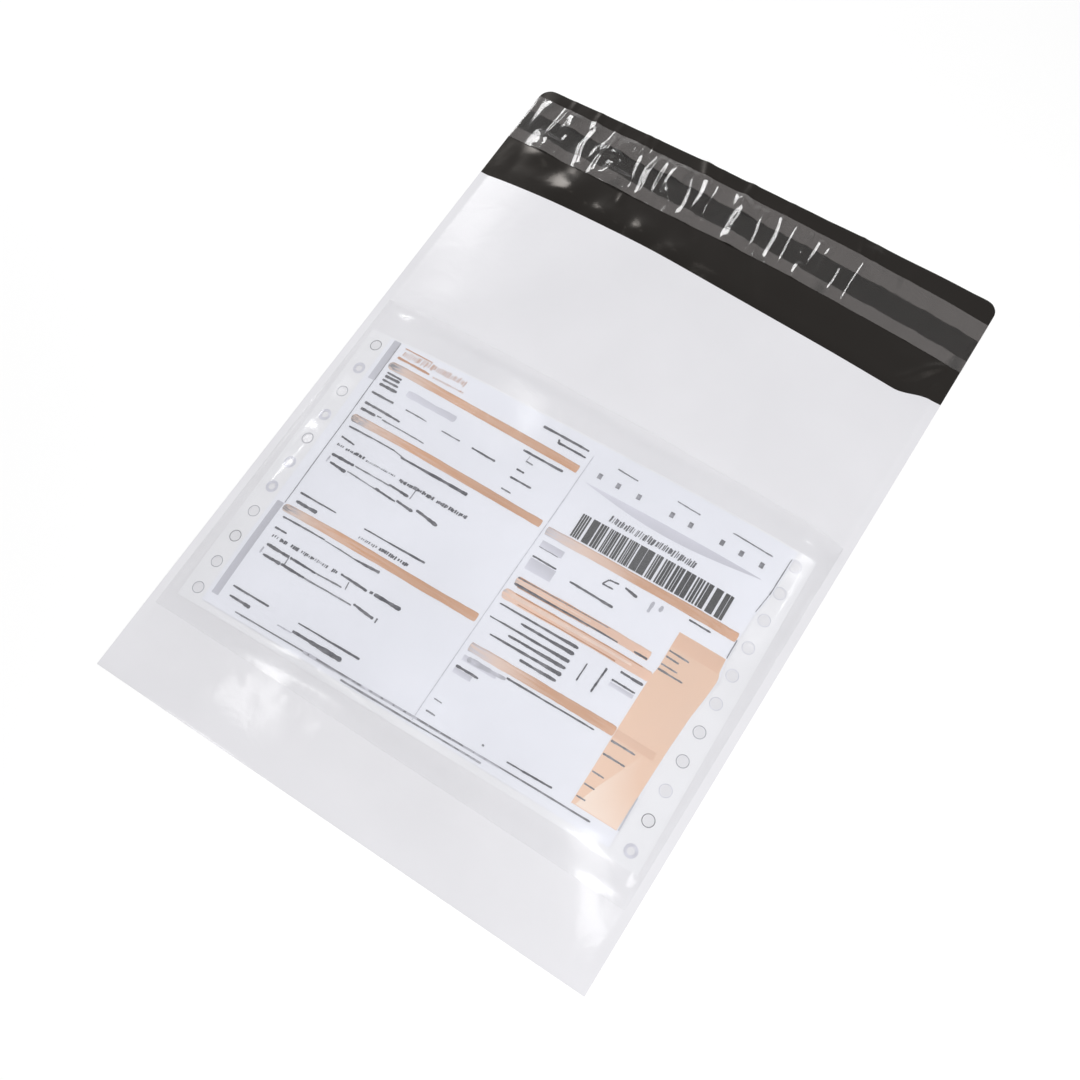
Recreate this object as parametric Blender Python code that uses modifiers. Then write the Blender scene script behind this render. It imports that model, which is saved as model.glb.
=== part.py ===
"""Poly mailer bag with its flap opened out and a waybill in its clear document pouch.

Units are metres. +X runs across the bag, +Y from the bottom fold to the flap, +Z up.
The origin is the middle of the bag's footprint, on the surface that it lies on.
"""

import math

import bmesh
import bpy
import numpy as np

# The bag: one film, folded at the bottom and welded along both sides
BAG_WIDTH = 0.228
BODY_LENGTH = 0.272
FLAP_LENGTH = 0.056
FLAP_CORNER = 0.0055
FLAP_BOW = 0.0018
MOUTH_DIP = 0.0045
MOUTH_DIP_SPAN = (-0.038, 0.088)
MOUTH_RISE_START = 0.094
FILM = 0.00006
FOLD_RADIUS = 0.00008
SIDE_WELD = 0.004
WELD_INSET = 0.0002

# How far the empty bag stands open, measured between its panels along the middle
CROWN = 0.0070
CROWN_POWER = 4
MOUTH_GAPE = 0.0062
CROWN_START = 0.060
CROWN_TO_MOUTH = 0.078
MOUTH_LEVEL = 0.020

# The clear pouch on the front panel
POUCH_SIDE_MARGIN = 0.0035
POUCH_BOTTOM = 0.0325
POUCH_LENGTH = 0.1635
POUCH_FILM = 0.00005

# The waybill: its sprocket holes are half an inch apart, and it lies a little turned
HOLE_PITCH = 0.0127
HOLE_COUNT = 11
HOLE_RADIUS = 0.0020
HOLE_INSET = 0.0063
SHEET_CLEARANCE = 0.0042
SHEET_BOTTOM_CLEARANCE = 0.0101
WAYBILL_TURN = math.radians(1.4)
PAPER = 0.0001
COPY_LEFT_MARGIN = 0.0108
COPY_RIGHT_MARGIN = 0.0100
COPY_BOTTOM_MARGIN = 0.0030
COPY_TOP_MARGIN = 0.0008

# The closure on the flap, each band measured from the mouth
GLUE_START = 0.029
GLUE_WIDTH = 0.011
GLUE_SIDE_MARGIN = 0.0015
GLUE = 0.00005
LINER_START = 0.023
LINER_WIDTH = 0.026
LINER_FILM = 0.00003
CLOSURE_SKEW = 0.0055
CLOSURE_SKEW_START = -0.023
PUCKER_HEIGHT = 0.0011
PUCKER_HALF_WIDTH = 0.0012
PUCKER_FADE = 0.170
PUCKER_LEAST = 0.30
PUCKER_AT_EDGE = 0.35
PUCKERS = (
    0.016, 0.020, 0.024, 0.032, 0.036, 0.042, 0.048, 0.057, 0.061, 0.065, 0.070, 0.085,
    0.089, 0.093, 0.098, 0.108, 0.112, 0.127, 0.135, 0.139, 0.148, 0.161, 0.169,
)

# Left between faces that touch
GAP = 0.0003

# Colours as linear values
WHITE_FILM = (0.76, 0.755, 0.79)
BLACK_FILM = (0.026, 0.023, 0.020)
GLUE_COLOUR = (0.030, 0.026, 0.023)
LINER_COLOUR = (0.10, 0.092, 0.085)
POUCH_COLOUR = (0.86, 0.87, 0.90)
PAPER_COLOUR = (0.74, 0.75, 0.82)
COPY_COLOUR = (0.77, 0.78, 0.86)
ORANGE = (0.62, 0.35, 0.20)
PEACH = (0.80, 0.58, 0.43)
INK = (0.07, 0.07, 0.085)
INK_GREY = (0.55, 0.55, 0.60)

# Printed fields of the top copy: left, bottom, width, height from the base sheet's corner, colour
FIELDS = (
    (0.0158, 0.1254, 0.0935, 0.0044, "orange"),
    (0.0158, 0.0976, 0.0943, 0.0038, "orange"),
    (0.0156, 0.0505, 0.0931, 0.0039, "orange"),
    (0.1125, 0.0962, 0.0879, 0.0037, "orange"),
    (0.1121, 0.0652, 0.0668, 0.0038, "orange"),
    (0.1129, 0.0395, 0.0660, 0.0036, "orange"),
    (0.1791, 0.0097, 0.0215, 0.0786, "peach"),
    (0.1211, 0.1011, 0.0700, 0.0110, "ink"),
    (0.1190, 0.1199, 0.0820, 0.0050, "grey"),
)

TOTAL_LENGTH = BODY_LENGTH + FLAP_LENGTH
HALF_WIDTH = BAG_WIDTH / 2
HALF_INSIDE = HALF_WIDTH - SIDE_WELD
CROWN_END = BODY_LENGTH - CROWN_TO_MOUTH
POUCH_HALF = HALF_WIDTH - POUCH_SIDE_MARGIN
SHEET_HALF = POUCH_HALF - SHEET_CLEARANCE
SHEET_LENGTH = HOLE_PITCH * HOLE_COUNT
SHEET_BOTTOM = POUCH_BOTTOM + SHEET_BOTTOM_CLEARANCE
SHEET_MIDDLE = SHEET_BOTTOM + SHEET_LENGTH / 2
CLOSED_HEIGHT = 2 * FOLD_RADIUS


def smooth(value, low, high):
    """0 below low, 1 above high, and an S-curve between them."""
    t = min(max((value - low) / (high - low), 0.0), 1.0)
    return t * t * (3 - 2 * t)


def centred(y):
    """Turns a distance from the bottom fold into the part's own Y."""
    return y - TOTAL_LENGTH / 2


def lift(x, y):
    """How far the front panel has risen from the back panel, y counted from the fold."""
    across = max(1 - (abs(x) / HALF_INSIDE) ** CROWN_POWER, 0.0)
    fall = smooth(y, CROWN_END, BODY_LENGTH - MOUTH_LEVEL)
    along = smooth(y, 0.0, CROWN_START) * (CROWN + (MOUTH_GAPE - CROWN) * fall)
    return across * along


def front_top(x, y):
    """Height of the front panel's outer face."""
    return FILM + CLOSED_HEIGHT + lift(x, y)


def mouth(x):
    """The mouth's distance from the fold. The edge dips on the right, short of the weld."""
    share = smooth(x, *MOUTH_DIP_SPAN) * (1 - smooth(x, MOUTH_RISE_START, HALF_INSIDE))
    return BODY_LENGTH - MOUTH_DIP * share


def skew(x):
    """How far the closure's bands have run down towards the mouth, more to the right."""
    share = (x - CLOSURE_SKEW_START) / (HALF_WIDTH - CLOSURE_SKEW_START)
    return CLOSURE_SKEW * max(share, 0.0) ** 2


def turned(x, y):
    """Turns a point of the waybill about its middle, as it lies in the pouch."""
    c, s = math.cos(WAYBILL_TURN), math.sin(WAYBILL_TURN)
    v = y - SHEET_MIDDLE
    return c * x - s * v, SHEET_MIDDLE + s * x + c * v


def crown_columns():
    """Places across the bag, closer where the front panel bends more."""
    shares = (0.25, 0.45, 0.60, 0.72, 0.82, 0.90, 0.96, 1.0)
    half = [share * HALF_INSIDE for share in shares]
    return sorted([-x for x in half] + [0.0] + half)


def body_rows():
    """Places along the bag, closer where the front panel rises and falls."""
    rising = [CROWN_START * k / 6 for k in range(7)]
    run = BODY_LENGTH - MOUTH_LEVEL - CROWN_END
    falling = [CROWN_END + run * k / 5 for k in range(6)]
    return rising + falling + [BODY_LENGTH]


def clipped(places, low, high):
    """The places between two ends, with the ends themselves."""
    least = 0.0005
    inside = [p for p in places if low + least < p < high - least]
    return [low] + inside + [high]


def material(name, colour, roughness, alpha=1.0):
    made = bpy.data.materials.new(name)
    made.use_nodes = True
    shader = made.node_tree.nodes["Principled BSDF"]
    shader.inputs["Base Color"].default_value = (*colour, 1.0)
    shader.inputs["Roughness"].default_value = roughness
    shader.inputs["Metallic"].default_value = 0.0
    shader.inputs["Alpha"].default_value = alpha
    made.diffuse_color = (*colour, alpha)
    return made


def add_object(name, mesh, collection, materials):
    made = bpy.data.objects.new(name, mesh)
    collection.objects.link(made)
    for one in materials:
        mesh.materials.append(one)
    return made


def sheet(name, columns, rows, place, thickness, offset, collection, materials, paint=None):
    """A grid with a point at each column and row, given its thickness by Solidify.

    place turns a column and a row into a point, and paint turns the middle of a face, while
    the grid is still flat, into its material. An offset of 0 thickens both ways, and of 1 only
    along the normals.
    """
    across, along = len(columns) - 1, len(rows) - 1
    work = bmesh.new()
    bmesh.ops.create_grid(work, x_segments=across, y_segments=along, size=0.5)
    stations = {}
    for vertex in work.verts:
        column = round((vertex.co.x + 0.5) * across)
        row = round((vertex.co.y + 0.5) * along)
        stations[vertex] = columns[column], rows[row]
    for face in work.faces if paint else ():
        corners = [stations[vertex] for vertex in face.verts]
        face.material_index = paint(*np.mean(corners, axis=0))
    for vertex, station in stations.items():
        vertex.co = place(*station)
    mesh = bpy.data.meshes.new(name)
    work.to_mesh(mesh)
    work.free()
    made = add_object(name, mesh, collection, materials)
    wall = made.modifiers.new("Wall", "SOLIDIFY")
    wall.thickness = thickness
    wall.offset = offset
    wall.use_even_offset = True
    mesh.shade_smooth()
    return made


def cutter(name, mesh, collection):
    made = add_object(name, mesh, collection, ())
    made.hide_render = True
    made.display_type = "WIRE"
    return made


def box_mesh(name, low, high):
    work = bmesh.new()
    bmesh.ops.create_cube(work, size=1.0)
    low, high = np.array(low), np.array(high)
    for vertex in work.verts:
        vertex.co = low + (np.array(vertex.co) + 0.5) * (high - low)
    mesh = bpy.data.meshes.new(name)
    work.to_mesh(mesh)
    work.free()
    return mesh


def boolean(target, other, operation):
    step = target.modifiers.new(other.name, "BOOLEAN")
    step.operation = operation
    step.solver = "EXACT"
    step.object = other


def film_columns():
    """The crown's columns, with more at the flap's rounded corners."""
    turn = [math.radians(22.5 * k) for k in range(5)]
    corner = [HALF_WIDTH - FLAP_CORNER * (1 - math.sin(a)) for a in turn]
    right = [x for x in crown_columns() if 0 < x < corner[0]] + [HALF_INSIDE] + corner
    right = sorted(set(right))
    return [-x for x in reversed(right)] + [0.0] + right


def film_rows():
    """Stations along the film: the front panel, the bottom fold, the back panel, the flap.

    Each is a panel's name with a distance from the fold, or the fold with an angle.
    """
    front = [("front", y) for y in reversed(body_rows()) if y > FOLD_RADIUS]
    fold = [("fold", math.radians(45 * k)) for k in range(5)]
    ends = (BODY_LENGTH / 2, BODY_LENGTH, TOTAL_LENGTH - 2 * FLAP_CORNER, TOTAL_LENGTH)
    return front + fold + [("back", y) for y in ends]


def film_point(x, station):
    """A point of the film's middle surface."""
    panel, value = station
    if panel == "front":
        y = min(value, mouth(x))
        return x, centred(y), front_top(x, y) - FILM / 2
    if panel == "fold":
        y = FILM / 2 + FOLD_RADIUS * (1 - math.sin(value))
        return x, centred(y), FILM / 2 + FOLD_RADIUS * (1 + math.cos(value))
    beyond = max(abs(x) - (HALF_WIDTH - FLAP_CORNER), 0.0)
    drop = FLAP_CORNER - math.sqrt(max(FLAP_CORNER**2 - beyond**2, 0.0))
    drop += FLAP_BOW * (x / HALF_WIDTH) ** 2
    return x, centred(min(value, TOTAL_LENGTH - drop)), FILM / 2


def build_bag_film(parts, cutters):
    film = sheet(
        "bag_film", film_columns(), film_rows(), film_point, FILM, 0.0, parts,
        (material("Black film", BLACK_FILM, 0.35), material("White film", WHITE_FILM, 0.25)),
    )
    wall = film.modifiers["Wall"]
    wall.material_offset = 1
    for side, name in ((-1, "left_weld"), (1, "right_weld")):
        edges = sorted((side * HALF_INSIDE, side * (HALF_WIDTH - WELD_INSET)))
        low = (edges[0], centred(FILM / 2 + 0.3 * FOLD_RADIUS), FILM / 2)
        high = (edges[1], centred(BODY_LENGTH - WELD_INSET), FILM / 2 + CLOSED_HEIGHT)
        boolean(film, cutter(name, box_mesh(name, low, high), cutters), "UNION")
    return film


def base_sheet_underside(x, y):
    return front_top(x, y) + GAP


def top_copy_underside(x, y):
    return base_sheet_underside(x, y) + PAPER + GAP


def pouch_bends():
    """The pouch is down at its welds, and flat over the waybill's furthest corners.

    Returns how far in from the middle, and how far up from the fold, it has come up.
    """
    corner_x = turned(SHEET_HALF, SHEET_BOTTOM)[0]
    corner_y = turned(-SHEET_HALF, SHEET_BOTTOM)[1]
    return corner_x, corner_y


def pouch_underside(x, y):
    """The pouch lies on the bag at its welds and on the waybill between them."""
    corner_x, corner_y = pouch_bends()
    inward = 1 - smooth(abs(x), corner_x, POUCH_HALF)
    upward = smooth(y, POUCH_BOTTOM, corner_y)
    return front_top(x, y) + GAP + 2 * (PAPER + GAP) * min(inward, upward)


def build_pouch(parts):
    corner_x, corner_y = pouch_bends()
    columns = sorted({*crown_columns(), -corner_x, corner_x})
    rows = sorted({*body_rows(), corner_y, (corner_y + POUCH_BOTTOM) / 2})
    sheet(
        "document_pouch", clipped(columns, -POUCH_HALF, POUCH_HALF),
        clipped(rows, POUCH_BOTTOM, POUCH_BOTTOM + POUCH_LENGTH),
        lambda x, y: (x, centred(y), pouch_underside(x, y)),
        POUCH_FILM, 1.0, parts, (material("Clear film", POUCH_COLOUR, 0.12, 0.25),),
    )


def on_waybill(underside):
    """Places a point of the waybill at the height that underside gives there."""
    def place(column, row):
        x, y = turned(column, row)
        return x, centred(y), underside(x, y)
    return place


def build_base_sheet(parts, cutters):
    made = sheet(
        "waybill_base_sheet", clipped(crown_columns(), -SHEET_HALF, SHEET_HALF),
        clipped(body_rows(), SHEET_BOTTOM, SHEET_BOTTOM + SHEET_LENGTH),
        on_waybill(base_sheet_underside), PAPER, 1.0, parts,
        (material("Paper", PAPER_COLOUR, 0.6),),
    )
    work = bmesh.new()
    for side in (-1, 1):
        for k in range(HOLE_COUNT):
            pin = bmesh.ops.create_cone(
                work, cap_ends=True, segments=10, radius1=HOLE_RADIUS, radius2=HOLE_RADIUS,
                depth=4 * CROWN,
            )
            along = SHEET_BOTTOM + HOLE_PITCH * (k + 0.5)
            x, y = turned(side * (SHEET_HALF - HOLE_INSET), along)
            bmesh.ops.translate(work, verts=pin["verts"], vec=(x, centred(y), 0.0))
    mesh = bpy.data.meshes.new("sprocket_holes")
    work.to_mesh(mesh)
    work.free()
    boolean(made, cutter("sprocket_holes", mesh, cutters), "DIFFERENCE")


def printed(x, y):
    """The material of the top copy at a point, from the field that holds it."""
    slots = {"orange": 1, "peach": 2, "ink": 3, "grey": 4}
    found = 0
    for left, low, width, height, colour in FIELDS:
        along, up = x + SHEET_HALF - left, y - SHEET_BOTTOM - low
        if 0 < along < width and 0 < up < height:
            found = slots[colour]
    return found


def build_top_copy(parts):
    left = COPY_LEFT_MARGIN - SHEET_HALF
    right = SHEET_HALF - COPY_RIGHT_MARGIN
    bottom = SHEET_BOTTOM + COPY_BOTTOM_MARGIN
    top = SHEET_BOTTOM + SHEET_LENGTH - COPY_TOP_MARGIN
    columns = {edge - SHEET_HALF for f in FIELDS for edge in (f[0], f[0] + f[2])}
    rows = {edge + SHEET_BOTTOM for f in FIELDS for edge in (f[1], f[1] + f[3])}
    sheet(
        "waybill_top_copy", clipped(sorted({*crown_columns(), *columns}), left, right),
        clipped(sorted({*body_rows(), *rows}), bottom, top),
        on_waybill(top_copy_underside), PAPER, 1.0, parts,
        (
            material("Printed paper", COPY_COLOUR, 0.5), material("Orange print", ORANGE, 0.5),
            material("Peach print", PEACH, 0.5), material("Dark print", INK, 0.5),
            material("Grey print", INK_GREY, 0.5),
        ),
        printed,
    )


def build_glue(parts):
    half = HALF_WIDTH - GLUE_SIDE_MARGIN
    sheet(
        "adhesive_strip", clipped(crown_columns(), -half, half),
        [GLUE_START, GLUE_START + GLUE_WIDTH],
        lambda x, row: (x, centred(BODY_LENGTH + row - skew(x)), FILM + GAP),
        GLUE, 1.0, parts, (material("Glue", GLUE_COLOUR, 0.3),),
    )


def pucker(x):
    """How far the liner's creases lift it at a distance from the bag's left edge."""
    fade = 1 - (1 - PUCKER_LEAST) * min(x / PUCKER_FADE, 1.0)
    return fade * sum(
        math.exp(-(((x - middle) / PUCKER_HALF_WIDTH) ** 2)) for middle in PUCKERS
    )


def liner_point(x, row):
    """row is a distance from the mouth. The strip is down at its edges and up on the glue."""
    across = min(row - LINER_START, LINER_START + LINER_WIDTH - row)
    slack = smooth(across, 0.0, GLUE_START - LINER_START)
    z = FILM + GAP + (GLUE + GAP) * slack
    free = PUCKER_AT_EDGE + (1 - PUCKER_AT_EDGE) * slack
    z += PUCKER_HEIGHT * pucker(x + HALF_WIDTH) * free
    return x, centred(BODY_LENGTH + row - skew(x)), z


def build_liner(parts):
    steps = [step * PUCKER_HALF_WIDTH for step in (-1.5, -0.7, 0.0, 0.7, 1.5)]
    places = sorted({round(middle + step, 6) for middle in PUCKERS for step in steps})
    columns = [-HALF_WIDTH]
    for place in clipped(places, 0.0, BAG_WIDTH)[1:]:
        if place - HALF_WIDTH - columns[-1] > 0.5 * PUCKER_HALF_WIDTH:
            columns.append(place - HALF_WIDTH)
    glue_end = GLUE_START + GLUE_WIDTH
    rows = [LINER_START, GLUE_START, glue_end, LINER_START + LINER_WIDTH]
    sheet(
        "release_liner", columns, rows, liner_point, LINER_FILM, 1.0, parts,
        (material("Liner film", LINER_COLOUR, 0.15, 0.5),),
    )


def new_collection(name):
    made = bpy.data.collections.new(name)
    bpy.context.scene.collection.children.link(made)
    return made


def main():
    for old in list(bpy.data.objects):
        bpy.data.objects.remove(old, do_unlink=True)
    parts, cutters = new_collection("poly_mailer_bag"), new_collection("cutters")
    build_bag_film(parts, cutters)
    build_base_sheet(parts, cutters)
    build_top_copy(parts)
    build_pouch(parts)
    build_glue(parts)
    build_liner(parts)


main()
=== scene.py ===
import math

import bmesh
import bpy
import numpy as np
from bpy.props import FloatProperty, FloatVectorProperty, IntProperty, PointerProperty
from bpy.types import Operator, Panel, PropertyGroup
from mathutils import Matrix, Quaternion, Vector


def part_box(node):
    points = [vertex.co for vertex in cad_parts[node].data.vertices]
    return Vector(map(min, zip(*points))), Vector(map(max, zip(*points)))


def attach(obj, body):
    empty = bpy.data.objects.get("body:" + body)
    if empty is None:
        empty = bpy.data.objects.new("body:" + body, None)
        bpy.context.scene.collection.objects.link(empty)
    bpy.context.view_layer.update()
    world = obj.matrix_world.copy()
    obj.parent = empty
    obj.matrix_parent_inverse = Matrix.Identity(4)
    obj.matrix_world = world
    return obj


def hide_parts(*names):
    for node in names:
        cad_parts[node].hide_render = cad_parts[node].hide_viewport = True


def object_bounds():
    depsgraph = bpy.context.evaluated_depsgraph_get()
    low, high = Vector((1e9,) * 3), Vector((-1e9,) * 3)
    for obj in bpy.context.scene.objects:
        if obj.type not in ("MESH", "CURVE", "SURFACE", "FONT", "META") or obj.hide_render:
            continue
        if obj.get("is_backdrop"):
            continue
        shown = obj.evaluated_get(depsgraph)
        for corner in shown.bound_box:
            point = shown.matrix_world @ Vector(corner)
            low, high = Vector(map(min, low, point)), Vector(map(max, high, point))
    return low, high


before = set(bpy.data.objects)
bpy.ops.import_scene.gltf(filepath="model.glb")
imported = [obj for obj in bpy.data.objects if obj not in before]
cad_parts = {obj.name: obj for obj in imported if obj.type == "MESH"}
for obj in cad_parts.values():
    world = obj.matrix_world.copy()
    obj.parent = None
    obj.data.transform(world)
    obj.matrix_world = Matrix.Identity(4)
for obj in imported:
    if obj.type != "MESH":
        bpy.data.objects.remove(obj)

bl_info = {
    "name": "Poly mailer bag",
    "version": (1, 0, 0),
    "blender": (4, 5, 0),
    "location": "3D View > Sidebar > Mailer",
    "description": "Builds an opened mailing bag with a waybill in its clear pouch",
    "category": "Object",
}

MM = 0.001
CAD_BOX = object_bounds()

# Places from the frame: x counts from the bag's middle, and y from its bottom fold
FILM_LOW, FILM_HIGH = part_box("bag_film")
POUCH_LOW, POUCH_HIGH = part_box("document_pouch")
LINER_LOW, LINER_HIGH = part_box("release_liner")
GLUE_LOW, GLUE_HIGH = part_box("adhesive_strip")
FOLD_Y = FILM_LOW[1]


def length(name, description, default):
    """A size in metres."""
    return FloatProperty(
        name=name, description=description, default=default, precision=6,
        subtype="DISTANCE", unit="LENGTH",
    )


def angle(name, description, degrees):
    return FloatProperty(
        name=name, description=description, default=math.radians(degrees),
        subtype="ANGLE", unit="ROTATION",
    )


def tone(name, description, default):
    """A linear colour."""
    return FloatVectorProperty(
        name=name, description=description, default=default, size=3, min=0.0, max=1.0,
        subtype="COLOR",
    )


class FilmSettings(PropertyGroup):
    """The film that the bag is folded from, and how far the empty bag stands open."""

    gauge: length("Gauge", "Thickness of the film", 0.06 * MM)
    width: length("Width", "Across the bag", FILM_HIGH[0] - FILM_LOW[0])
    total_length: length("Length", "From the fold to the flap's edge", FILM_HIGH[1] - FOLD_Y)
    flap_length: length("Flap", "From the mouth to the flap's edge", 56 * MM)
    flap_corner: length("Flap corner", "Radius of the flap's corners", 5.5 * MM)
    flap_bow: length("Flap bow", "How far the flap's ends fall back", 1.8 * MM)
    side_weld: length("Side weld", "Width of each welded side", 4 * MM)
    mouth_dip: length("Mouth dip", "How far the mouth falls on the right", 4.5 * MM)
    crown: length("Crown", "How far the panels stand apart", 7.0 * MM)
    mouth_gape: length("Mouth gape", "How far the mouth stands open", 6.2 * MM)
    wave_height: length("Wave height", "Height of the film's soft waves", 0.32 * MM)
    outside: tone("Outside", "White outer face", (0.765, 0.76, 0.79))
    inside: tone("Inside", "Black inner face", (0.013, 0.0115, 0.0105))


class PouchSettings(PropertyGroup):
    """The clear pouch on the front panel, open at its top."""

    gauge: length("Gauge", "Thickness of the clear film", 0.05 * MM)
    bottom: length("Bottom", "From the fold to the pouch's bottom weld", POUCH_LOW[1] - FOLD_Y)
    height: length("Height", "From the bottom weld to the open edge", POUCH_HIGH[1] - POUCH_LOW[1])
    weld: length("Weld", "Width of the pouch's welds", 2.5 * MM)
    wave_height: length("Wave height", "Height of the clear film's waves", 0.11 * MM)
    haze: tone("Haze", "Milky tint of the film", (0.95, 0.955, 0.98))


class WaybillSettings(PropertyGroup):
    """The waybill: a base sheet with punched margins and the printed copy on it."""

    width: length("Width", "Of the base sheet", 212.6 * MM)
    hole_pitch: length("Hole pitch", "Between two sprocket holes", 12.7 * MM)
    hole_radius: length("Hole radius", "Of a sprocket hole", 2.0 * MM)
    hole_inset: length("Hole inset", "From the edge to the holes' middle", 6.3 * MM)
    bottom: length("Bottom", "From the fold to the sheet", 42.6 * MM)
    turn: angle("Turn", "How far the waybill lies turned", 1.4)
    paper: length("Paper", "Thickness of a sheet", 0.1 * MM)
    air: length("Air", "Between one layer and the next", 0.03 * MM)
    copy_left: length("Left margin", "From the base sheet's edge to the copy", 10.8 * MM)
    copy_bottom: length("Bottom margin", "Below the copy", 3.0 * MM)
    copy_top: length("Top margin", "Above the copy", 0.8 * MM)
    hole_count: IntProperty(name="Holes", description="Down each margin", default=11)
    base_colour: tone("Base sheet", "Pale paper", (0.82, 0.82, 0.85))
    copy_colour: tone("Copy", "Paper of the copy", (0.815, 0.825, 0.89))
    orange: tone("Orange", "Print of the heading bars", (0.55, 0.30, 0.175))
    cream: tone("Cream", "Worn print of the bars' left ends", (0.66, 0.51, 0.44))
    worn: tone("Worn", "Print of the two worn bars", (0.74, 0.50, 0.385))
    peach: tone("Peach", "Print of the side column", (0.785, 0.55, 0.415))
    deep_peach: tone("Deep peach", "Print at the side column's head", (0.735, 0.485, 0.355))
    pale_peach: tone("Pale peach", "Print at the side column's foot", (0.87, 0.73, 0.635))
    ink: tone("Ink", "Dark print", (0.055, 0.055, 0.07))
    grey: tone("Grey", "Grey print", (0.50, 0.50, 0.56))
    brown: tone("Brown", "Print in the heading's corner", (0.50, 0.25, 0.14))


class ClosureSettings(PropertyGroup):
    """The glue on the flap and the clear strip that covers it, measured from the mouth."""

    glue_start: length("Glue start", "From the mouth to the glue", 29 * MM)
    glue_width: length("Glue width", "Of the band of glue", 11 * MM)
    glue: length("Glue", "Thickness of the glue", 0.05 * MM)
    liner_start: length("Liner start", "From the mouth to the strip", 23 * MM)
    liner_width: length("Liner width", "Of the strip", 26 * MM)
    liner: length("Liner", "Thickness of the strip", 0.03 * MM)
    skew: length("Skew", "How far the bands run down on the right", 5.5 * MM)
    glue_colour: tone("Glue", "Dark glue", (0.020, 0.0175, 0.016))
    haze: tone("Haze", "Grey of the strip where it lies dry", (0.17, 0.155, 0.15))


class StageSettings(PropertyGroup):
    """The pale floor, the lamps and the camera."""

    azimuth: angle("Azimuth", "Of the camera round the bag", 42.13)
    elevation: angle("Elevation", "Of the camera above the floor", 68.40)
    roll: angle("Roll", "Of the camera about its view", -9.70)
    distance: length("Distance", "From the camera to its aim", 516.6 * MM)
    aim_x: length("Aim across", "Where the camera looks, from the bag's middle", 6.6 * MM)
    aim_y: length("Aim along", "Where the camera looks, from the bag's middle", -27.8 * MM)
    lens: FloatProperty(
        name="Lens", description="Focal length on a 36 mm sensor", default=42.95,
        subtype="DISTANCE_CAMERA", unit="CAMERA",
    )
    floor: tone("Floor", "Pale floor", (0.82, 0.82, 0.82))
    sky: FloatProperty(name="Sky", description="Strength of the even light", default=0.56)


# Shapes shared by the pieces

def smooth(value, low, high):
    """0 below low, 1 above high, and 3tt - 2ttt between them."""
    t = np.clip((value - low) / (high - low), 0.0, 1.0)
    return t * t * (3 - 2 * t)


def wave_set(seed, count, shortest, longest, height):
    """Waves that run every way, longer ones higher, the whole about as high as height."""
    rng = np.random.default_rng(seed)
    size = rng.uniform(shortest, longest, count)
    turn = rng.uniform(0.0, math.pi, count)
    turns = 2 * math.pi / size
    heights = height * size / longest * math.sqrt(2 / count)
    return turns * np.cos(turn), turns * np.sin(turn), rng.uniform(0, 2 * math.pi, count), heights


def waves(wave_rows, x, y):
    """The sum of the set's sines: height times sin(kx x + ky y + phase)."""
    across, along, phase, height = wave_rows
    return (height * np.sin(x[..., None] * across + y[..., None] * along + phase)).sum(axis=-1)


def mounds(places, x, y):
    """Round mounds: height times exp(-(dx/wide)^2 - (dy/long)^2), places in millimetres."""
    total = np.zeros_like(x)
    for left, up, wide, long, high in places:
        across = (x - left * MM) / (wide * MM)
        along = (y - up * MM) / (long * MM)
        total += high * MM * np.exp(-(across**2) - along**2)
    return total


def creases(places, x, y):
    """Narrow ridges that run mostly along y, each between two places in millimetres.

    Across its run a ridge is steep times half times exp(-(dx/half)^2). It wanders a little as
    a sine of y, and fades in and out over a fifth of its run.
    """
    total = np.zeros_like(x)
    for number, (x_low, y_low, x_high, y_high, half, steep) in enumerate(places):
        t = (y / MM - y_low) / (y_high - y_low)
        wander = 0.35 * half * np.sin(y / MM * (0.20 + 0.03 * (number % 5)) + 1.7 * number)
        middle = x_low + (x_high - x_low) * t + wander
        fade = smooth(t, -0.05, 0.15) * (1 - smooth(t, 0.85, 1.05))
        total += steep * half * MM * fade * np.exp(-(((x / MM - middle) / half) ** 2))
    return total


# Soft places of the front panel, then of the pouch's film: from the middle and the fold,
# half widths and height
FRONT_MOUNDS = (
    (-60, 236, 26, 20, 0.5), (38, 228, 34, 18, -0.5), (84, 246, 16, 18, 0.4), (-90, 205, 14, 10, 0.5),
    (-24, 200, 16, 7, 0.5), (12, 198, 12, 6, 0.4), (40, 200, 12, 6, 0.45), (92, 201, 12, 7, 0.6),
    (98, 24, 10, 12, 0.5), (-70, 12, 24, 10, 0.4), (-58, 28, 4.5, 3.5, 0.42),
    (-48, 23, 4.0, 3.0, -0.35), (-40, 29, 4.0, 3.5, 0.38), (-29, 24, 5.0, 3.5, -0.38),
    (-66, 20, 4.0, 4.0, 0.35), (104, 34, 5.0, 2.4, -0.5),
)
POUCH_MOUNDS = (
    (-101, 99, 3.0, 7.0, 0.45), (-99, 119, 2.6, 6.0, 0.40), (-102, 136, 2.8, 5.0, 0.40),
    (-52, 31, 6.0, 5.5, 0.55), (-40, 33, 4.5, 4.5, 0.50), (-90, 192, 12.0, 2.6, 0.5),
    (36, 191, 7.0, 3.0, 0.25), (66, 189, 4.0, 3.4, 0.3), (96, 190, 9.0, 4.0, 0.6),
    (100, 37, 8.0, 4.5, 0.55), (84, 36, 4.0, 3.5, 0.35), (-84, 66, 4.0, 9.0, 0.30),
    (98, 120, 4.0, 16.0, 0.30), (102, 160, 3.5, 12.0, 0.35), (-75, 186, 5.0, 3.0, 0.35),
    (-8, 36, 5.0, 3.0, 0.3),
)
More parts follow.
